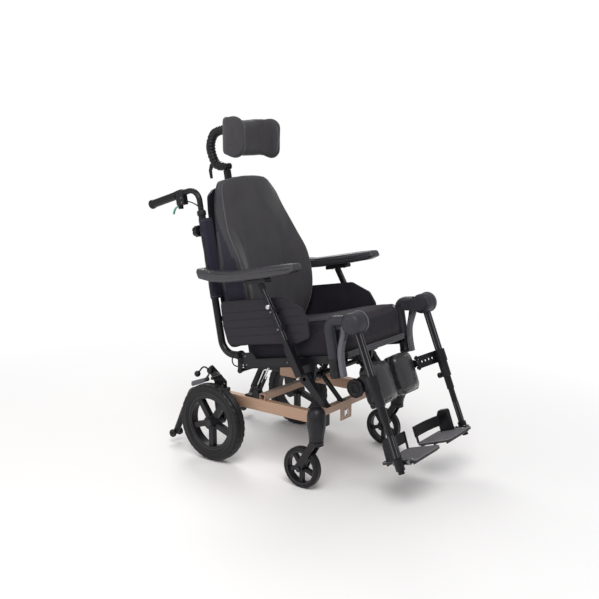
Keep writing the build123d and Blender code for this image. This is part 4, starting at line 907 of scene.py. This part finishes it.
def cords():
    """The two handle cables and the two release cables, each one smooth line between its ends."""
    runs = []
    for side, sign in SIDES.items():
        grip_run = [(sign * 215, 297.5, 1090), (sign * 215, 267.5, 1086), (sign * 215, 229, 1056)]
        runs.append((f"handle_cable_{side}", "handle_cables", "handles", grip_run))
        seat_run = [(sign * 234, 150, 479), (sign * 234, 170, 469), (sign * 234, 158, 431),
                    (sign * 234, 102, 437)]
        runs.append((f"recline_cable_{side}", "release_cable", "seat", seat_run))
    for name, node, body, route in runs:
        data = bpy.data.curves.new(name, "CURVE")
        data.dimensions = "3D"
        data.bevel_depth = CABLE_RADIUS * MM
        data.bevel_resolution = 4
        data.use_fill_caps = True
        line = data.splines.new("NURBS")
        line.points.add(len(route) - 1)
        for point, place in zip(line.points, route):
            point.co = (*(LEVEL @ Vector(place)), 1)
        line.order_u = 3
        line.use_endpoint_u = True
        line.resolution_u = 16
        data.materials.append(FINISH["cable"])
        obj = placed(name, data)
        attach(obj, body)
        stands_for(obj, node)


def armrest(side):
    space = sided(LEVEL, side)
    body = f"armrest_{side}"
    foot, head = Vector((0, -163, 396)), Vector((0, -44, 741))
    way = (head - foot).normalized()
    front = Vector((0, -way.z, way.y))
    # The two pale strips down the front of each post are painted highlight: lighter metal standing in for the
    # light along the edge of the post's profile.
    for n, (x, lift, wide) in enumerate(((255.2, 6.5, 1.5), (247, 10.2, 1.2))):
        points = [Vector((x, 0, 0)) + foot + way * at + front * lift for at in (138, 340)]
        tube(f"post_highlight_strip_{side}_{n}", points, wide, space, "strip_metal_and_highlight", body, 8)
    knob = foot + way * 272
    profile = [(254, 0.5), (254, 4), (257.5, 4.6), (259, 8.4), (262, 9.8), (265.5, 9.4), (268, 7.4),
               (269, 4), (269, 0.5)]
    lathe(f"post_knob_{side}", profile, (0, knob.y, knob.z), space, "chrome", body, 32)
    clamps = [OUT * 258 + foot + way * at - front * 2 for at in (183, 251)]
    bolts(f"clamp_bolt_{side}", clamps, OUT, 4.6, space, body)
    outline = [(-160, 511), (176, 520), (188, 591), (184, 687), (-120, 680), (-196, 634), (-216, 590),
               (-216, 530)]
    rim = rounded_polygon(outline, 20, 10)
    for n, x in enumerate((221.4, 228.6)):
        tube(f"guard_rim_{side}_{n}", [(x, p.x, p.y) for p in inset(rim, 0.8)], 1.9, space, "guard", body, 8,
             True)
    for n, z in enumerate((548, 578, 608, 638)):
        line = [(228.6, -200 + abs(z - 585) * 0.5, z), (228.6, 174, z + 4)]
        tube(f"guard_rib_{side}_{n}", line, 1.7, space, "guard", body, 8)
    bar = rounded_box((-92, 742), (12, 757), 5, 6)
    prism(f"armpad_tray_{side}", bar, (241, 277), 2.5, 8, "X", space, "plastic", body)
    bolts(f"armpad_bolt_{side}", [(259, y, 742.5) for y in (-70, -10)], -UP, 4.5, space, body)


def legrest(side):
    space = sided(LEVEL, side)
    leg_space = sided(LEG, side)
    body, leg_body = f"legrest_{side}", f"legrest_upright_{side}"
    drum = [(213.6, 0.5), (213.6, 33), (215, 36), (218, 37.2), (264, 37.2), (271, 35.4), (276.5, 30),
            (280, 21), (281.4, 10), (281.6, 0.5)]
    lathe(f"knee_drum_{side}", drum, ORIGIN, leg_space, "plastic_soft", leg_body, 72)
    # The lighter grey ring is a painted highlight of the drum's rounded rim. It is put at the end of each
    # drum that is on the camera's right: the inner end on the right side, the outer end on the left.
    low = 213.8 if side == "R" else 268
    flange = [(low, 34), (low, 38.6), (low + 1.2, 39.4), (low + 4.8, 39.4), (low + 6, 38.6), (low + 6, 34),
              (low, 34)]
    lathe(f"knee_highlight_ring_{side}", flange, ORIGIN, leg_space, "plastic_grey", leg_body, 72)
    lever = [(-374, 563), (-375, 540), (-362, 515), (-346, 480), (-342, 431), (-344, 388)]
    ribbon(f"release_lever_{side}", lever, 8.2, (226, 251), 4, space, "plastic_grey", body)
    ribs = (("leg_rib", 12.6, (-38, -189), 2.2, leg_body),
            ("foot_rib", 10.4, (-392, -466), 1.6, f"foot_tube_{side}"))
    for n, turn in enumerate((0, 180, -62, -118)):
        a = math.radians(turn)
        for name, reach, ends, wide, rides in ribs:
            line = [(LEG_TUBE_X + reach * math.cos(a), reach * math.sin(a), z) for z in ends]
            tube(f"{name}_{side}_{n}", line, wide, leg_space, "strip_metal_and_highlight", rides, 8)
    sleeve = [(-291, 13.6), (-291, 16.6), (-288, 17.7), (-194, 17.7), (-190, 16.6), (-189, 13.6),
              (-291, 13.6)]
    lathe(f"leg_sleeve_{side}", sleeve, (LEG_TUBE_X, 0, 0), leg_space, "plastic", leg_body, 40, "Z")
    knob = [(0, 0.5), (0, 8), (1.5, 10.5), (12, 10.5), (14, 8.5), (14.6, 0.5)]
    place = Vector((LEG_TUBE_X, 21, -282))
    knob_space = aimed(leg_space, place, place + Vector((0, 1, 0)))
    lathe(f"leg_knob_{side}", knob, ORIGIN, knob_space, "plastic", leg_body, 32, "Z",
          lambda at, reach, turn: reach * (1 + 0.07 * math.cos(6 * turn)) if reach > 5 else reach)
    receiver = [(385.5, 13.2), (385.5, 19.6), (388, 20.6), (398, 20.6), (400, 19.3), (446, 19.3), (448, 21),
                (451.5, 21), (451.7, 13.2), (385.5, 13.2)]
    lathe(f"receiver_{side}", receiver, (240, -313, 0), space, "plastic", "seat", 48, "Z")


def footrest(side):
    """Footplate with a ribbed top, its hinge knuckles, heel panel and heel strap."""
    space = sided(foot_space(side), side)
    body = f"footplate_{side}"
    outline = rounded_box((-190, -50), (-11, 88), [24, 4, 4, 24], 8)
    obj = prism(f"foot_plate_{side}", outline, (-6, 3), 1.6, 14, "Z", space, "plate", body)
    stands_for(obj, f"footplate_{side}")
    # The rim and ribs are real raised shapes drawn lighter grey than the plate: their colour is painted light
    # on the plate's top face.
    rim = [(p.x, p.y, 2.6) for p in inset(outline, 1.2)]
    tube(f"plate_highlight_rim_{side}", rim, 1.7, space, "lit_plate_top", body, 8, True)
    for n, y in enumerate(range(-42, 84, 7)):
        near = -24 if 14 < y < 70 else -17
        far = -184 if abs(y - 19) < 46 else -176
        tube(f"plate_rib_{side}_{n}", [(far, y, 3), (near, y, 3)], 1.3, space, "lit_plate_top", body, 6)
    for n, y in enumerate((-34, 19, 72)):
        stiffener = rounded_box((-184, -13), (-14, -4), [3, 3, 1, 1], 8)
        prism(f"plate_web_{side}_{n}", stiffener, (y - 2, y + 2), 0.8, 10, "Y", space, "plate", body)
    for n, low in enumerate((-34, 14)):
        knuckle = [(low, 5.1), (low, 8.4), (low + 0.8, 9.2), (low + 19.2, 9.2), (low + 20, 8.4),
                   (low + 20, 5.1), (low, 5.1)]
        lathe(f"plate_knuckle_{side}_{n}", knuckle, ORIGIN, space, "bolt", body, 32, "Y")
        web = rounded_polygon([(-18, -6), (-5.6, -8), (-5.6, 7), (-18, 3)], 2, 4)
        prism(f"plate_lug_{side}_{n}", web, (low, low + 20), 1, 6, "Y", space, "frame", body)
        bolt(f"plate_bolt_{side}_{n}", (-28, low + 10, 3), UP, 4.2, space, body, "chrome")
    panel = rounded_polygon([(18, 1), (70, 1), (70, 62), (58, 84), (18, 84)], [3, 3, 12, 12, 10], 8)
    prism(f"heel_panel_{side}", panel, (-32, -9), 4, 8, "X", space, "frame", body)
    bolts(f"heel_bolt_{side}", [(-9.2, 32, z) for z in (28, 62)], OUT, 4.6, space, body)
    post = rounded_box((78, 1), (86, 66), 2.5, 6)
    prism(f"heel_post_{side}", post, (-184, -178), 1.5, 6, "X", space, "plastic", body)
    line = eased([Vector(p) for p in ((-16, 52), (-40, 70), (-95, 84), (-150, 85), (-186, 85))])
    edge = rounded_box((-2.4, 26), (2.4, 66), 2, 4)
    loops = []
    for i, p in enumerate(line):
        run = (line[min(i + 1, len(line) - 1)] - line[max(i - 1, 0)]).normalized()
        loops.append([(p.x - run.y * q.x, p.y + run.x * q.x, q.y) for q in edge])
    seat_on(piece(f"heel_strap_{side}", *rings(loops), space, "strap", body))
    for n, z in enumerate((29, 63)):
        hem = [(p.x, p.y - 2.4, z) for p in line]
        tube(f"heel_hem_{side}_{n}", hem, 1, space, "strap", body, 6)


# ---- wheels, castors, brakes ----
TYRE_LUGS = 72


def rear_wheel(side):
    space = sided(GROUND, side)
    body = f"rear_wheel_{side}"
    centre = (273, 246, 152.5)
    tyre = [
        (0, 108), (15, 108), (19.5, 109), (22.5, 113), (24.4, 120), (25.2, 122), (25.2, 125), (24.7, 127),
        (24.9, 133), (24.2, 139), (25, 140.5), (24.6, 143), (22, 146.5), (19, 149), (15, 150.8),
        (10.5, 151.8), (9.8, 149.4), (7.4, 149.4), (6.7, 152.2), (1.6, 152.5), (0.9, 150), (0, 150),
    ]

    def lugs(at, reach, turn):
        step = math.floor(turn / (2 * math.pi) * TYRE_LUGS)
        return reach - 1.7 if abs(at) > 10.6 and reach > 143 and step % 2 else reach

    obj = lathe(f"tyre_{side}", tyre + [(-x, r) for x, r in reversed(tyre[1:-1])] + tyre[:1], centre, space,
                "rubber", body, 288, "X", lugs)
    stands_for(obj, f"rear_tyre_{side}")
    flange = [(16.8, 102), (18.6, 103), (19.6, 106), (19.8, 109.5), (18.8, 111), (17, 109), (16.8, 102)]
    for n, sign in enumerate((1, -1)):
        ring = [(sign * x, r) for x, r in flange]
        lathe(f"rim_flange_{side}_{n}", ring, centre, space, "rim_edge", body, 96)
        for k in range(5):
            turn = 2 * math.pi * k / 5 + 0.2
            place = Vector(centre) + Vector((sign * 22.8, 16.5 * math.cos(turn), 16.5 * math.sin(turn)))
            bolt(f"hub_bolt_{side}_{n}_{k}", place, OUT * sign, 2.8, space, body)
    cap = [(23, 0.5), (23, 12), (26.5, 12.4), (28.6, 11), (29.2, 8.5), (28.2, 7.6), (28.2, 0.5)]
    lathe(f"axle_cap_{side}", cap, centre, space, "rim_edge", body, 40)


def castor(side):
    space = sided(GROUND, side)
    centre = Vector((280, -193, 75))
    wheel_body, fork_body = f"castor_wheel_{side}", f"castor_fork_{side}"
    skin = [(14.2, 62.5), (14.9, 64), (15, 67), (14.2, 68), (14.4, 70.5), (12.6, 73.6), (9, 75), (4.4, 75.2),
            (3.6, 74), (0, 74)]
    lathe(f"castor_tyre_{side}", skin + [(-x, r) for x, r in reversed(skin[:-1])] + skin[:1], centre, space,
          "rubber", wheel_body, 128)
    flange = [(13.9, 55.5), (14.6, 56), (15, 58.5), (14.8, 62), (13.9, 62.4), (13.9, 55.5)]
    for n, sign in enumerate((1, -1)):
        ring = [(sign * x, r) for x, r in flange]
        lathe(f"castor_rim_{side}_{n}", ring, centre, space, "rim_edge", wheel_body, 80)
        bolt(f"castor_axle_{side}_{n}", centre + OUT * sign * 24.4, OUT * sign, 7.5, space, fork_body)


def knuckles():
    """The moulded castor housings: a domed head that narrows down to the stem's collar."""
    profile = [
        (265, 10.2), (184, 10.2), (184, 23), (185.5, 25.2), (189, 26), (200, 27), (212, 28.6), (222, 30.4),
        (232, 32.4), (244, 33.4), (262, 33.8), (276, 33.2), (288, 31), (296, 27.4), (302, 22), (306, 14),
        (307.6, 6), (308, 0.5),
    ]

    def keel(at, reach, turn):
        """A wing on the outer front of the lower half."""
        if reach <= 12:
            return reach
        lobe = max(0, math.cos(turn - math.radians(-40)))
        return reach + lobe ** 3 * 6 * smooth((at - 192) / 30) * smooth((292 - at) / 30)

    for side in SIDES:
        space = sided(GROUND, side)
        obj = lathe(f"castor_knuckle_{side}", profile, (280, -254, 0), space, "plastic", "chassis", 64, "Z",
                    keel)
        if side == "L":
            stands_for(obj, "castor_housings")
        lug = rounded_polygon([(208, -262), (262, -262), (270, -240), (262, -227), (208, -227)],
                              [4, 6, 6, 6, 4], 7)
        prism(f"knuckle_lug_{side}", lug, (224, 269), 3, 8, "Z", space, "plastic", "chassis")


def brake(side):
    space = sided(GROUND, side)
    body = f"parking_brake_{side}"
    ball = [(-12.5, 0.5), (-12, 4), (-9.5, 8.2), (-5, 11.6), (0, 12.6), (5, 11.6), (9.5, 8.2), (12, 4),
            (12.5, 0.5)]
    lathe(f"brake_ball_{side}", ball, (240, 354, 319), space, "plastic", body, 32)
    pad = rounded_polygon([(313, 309), (384, 284), (386, 268), (378, 265), (308, 294)], [4, 5, 5, 5, 5], 6)
    prism(f"brake_tread_{side}", pad, (219, 246), 3, 7, "X", space, "plastic_grey", body)
    hub = [(244, 0.5), (244, 11.5), (247, 12.6), (251, 12.6), (253, 10.5), (253, 6), (250.6, 5.4),
           (250.6, 0.5)]
    lathe(f"brake_hub_{side}", hub, (0, 280, 345), space, "plastic", "chassis", 36)
    guide = rounded_polygon([(212, 308), (262, 347), (282, 364), (290, 352), (268, 330), (218, 296)], 6, 6)
    prism(f"brake_housing_{side}", guide, (229.8, 235.8), 1.5, 7, "X", space, "plastic", "chassis")
    bolts(f"brake_bolt_{side}", [(235, 216, 300), (235, 226, 290)], OUT, 4.2, space, "chassis")


def chassis_trim(side):
    space = sided(GROUND, side)
    axle = [(236.2, 246, 262), (236.2, 246, 232), (236.2, 262, 247)]
    bolts(f"axle_bolt_{side}", axle, OUT, 4.4, space, "chassis")
    bolts(f"cross_bolt_{side}", [(222, y, 292.6) for y in (17, 37)], UP, 4.2, space, "chassis")
    eyelet = [(-270.5, 10.8), (-271.4, 12), (-271.6, 14), (-270.6, 15.6), (-269.9, 15.6), (-269.9, 10.8),
              (-270.5, 10.8)]
    lathe(f"tie_ring_{side}", eyelet, (110, 4, 246), space, "chrome", "chassis", 40, "Y")
    plug = rounded_box((209.5, 225.5), (234.5, 267.5), 3, 8)
    prism(f"beam_plug_{side}", plug, (291.5, 295), 1.2, 8, "Y", space, "plastic", "chassis")


def seat_trim():
    """The lip of the seat pan under the front of the cushion, and the trim of the side covers."""
    lip = rounded_polygon([(-344, 444), (-345, 462), (-338, 467), (-331, 464), (-326, 456), (-326, 444)], 3,
                          5)
    prism("seat_lip", lip, (-196, 196), 3, 12, "X", LEVEL, "vinyl_edge", "seat")
    # The three light grey ribs along the front of the lip are painted highlights on it.
    for n, (y, z) in enumerate(((-345.4, 449), (-345.8, 456), (-344.6, 463))):
        tube(f"lip_highlight_rib_{n}", [(-192, y, z), (192, y, z)], 1.6, LEVEL, "plastic_grey", "seat", 8)
    for side in SIDES:
        space = sided(LEVEL, side)
        rim = [(-112, 429), (111, 429), (111, 484), (64, 484), (46, 459), (-112, 459)]
        rim = rounded_polygon(rim, 4, 10)
        line = [(231.8, p.x, p.y) for p in rim]
        tube(f"cover_rim_{side}", line, 1.4, space, "plastic", "seat", 8, True)
        screws = [(231.2, -100, 444), (231.2, 98, 440), (231.2, 98, 474)]
        bolts(f"cover_screw_{side}", screws, OUT, 4, space, "seat")


# ---- finishes of the CAD nodes ----
def dress_nodes():
    groups = {
        "frame": ("back_frame", "seat_frame", "tilt_uprights", "strut_feet", "axle_brackets", "handle_tubes",
                  "anti_tipper", "armrest_post", "armrest_sockets", "headrest_bar", "castor_fork",
                  "parking_brake", "legrest_upright", "foot_tube", "headrest_arm", "seat_plate",
                  "headrest_clamp", "handle_knob"),
        "bronze": ("side_beams",),
        "bronze_cross": ("crossbars",),
        "chrome": ("tilt_rods", "recline_rod"),
        "plastic": ("castor_housings", "lever_housings", "tilt_cylinders", "recline_cylinder",
                    "seat_side_covers", "back_shell", "rear_rim", "castor_wheel", "trigger_L"),
        "plastic_soft": ("legrest_hanger",),
        "rubber": ("rear_tyre", "grips"),
        "guard": ("side_guard",),
        "plate": ("footplate",),
        "green": ("trigger_R",),
        "cable": ("handle_cables", "release_cable"),
        "vinyl": ("calf_pad", "armpad"),
        "centre": ("headrest_cushion", "back_cushion", "seat_cushion"),
    }
    for name, node in frame["nodes"].items():
        for key, starts in groups.items():
            if name.startswith(starts):
                node.data.materials.clear()
                node.data.materials.append(FINISH[key])
                break
        else:
            raise ValueError(f"no finish for {name}")


bpy.context.scene.view_settings.view_transform = "Standard"
camera()
world_light()
area_light("key", (-1.9, -1.4, 3.4), 0.5, 2.2, 78)
area_light("fill", (-3.0, 1.6, 1.8), 0.5, 2.4, 20)
area_light("rim", (1.6, 2.2, 2.8), 0.6, 1.8, 42)
floor()
dress_nodes()
for build in (seat_cushion, back_cushion, headrest, seat_trim, headrest_links, cords, knuckles):
    build()
for hand in SIDES:
    for build in (armpad, calf_pad, push_handle, trigger_blade, armrest, legrest, footrest,
                  rear_wheel, castor, brake, chassis_trim):
        build(hand)
for item in bpy.data.objects:
    if "body" in item:
        del item["body"]
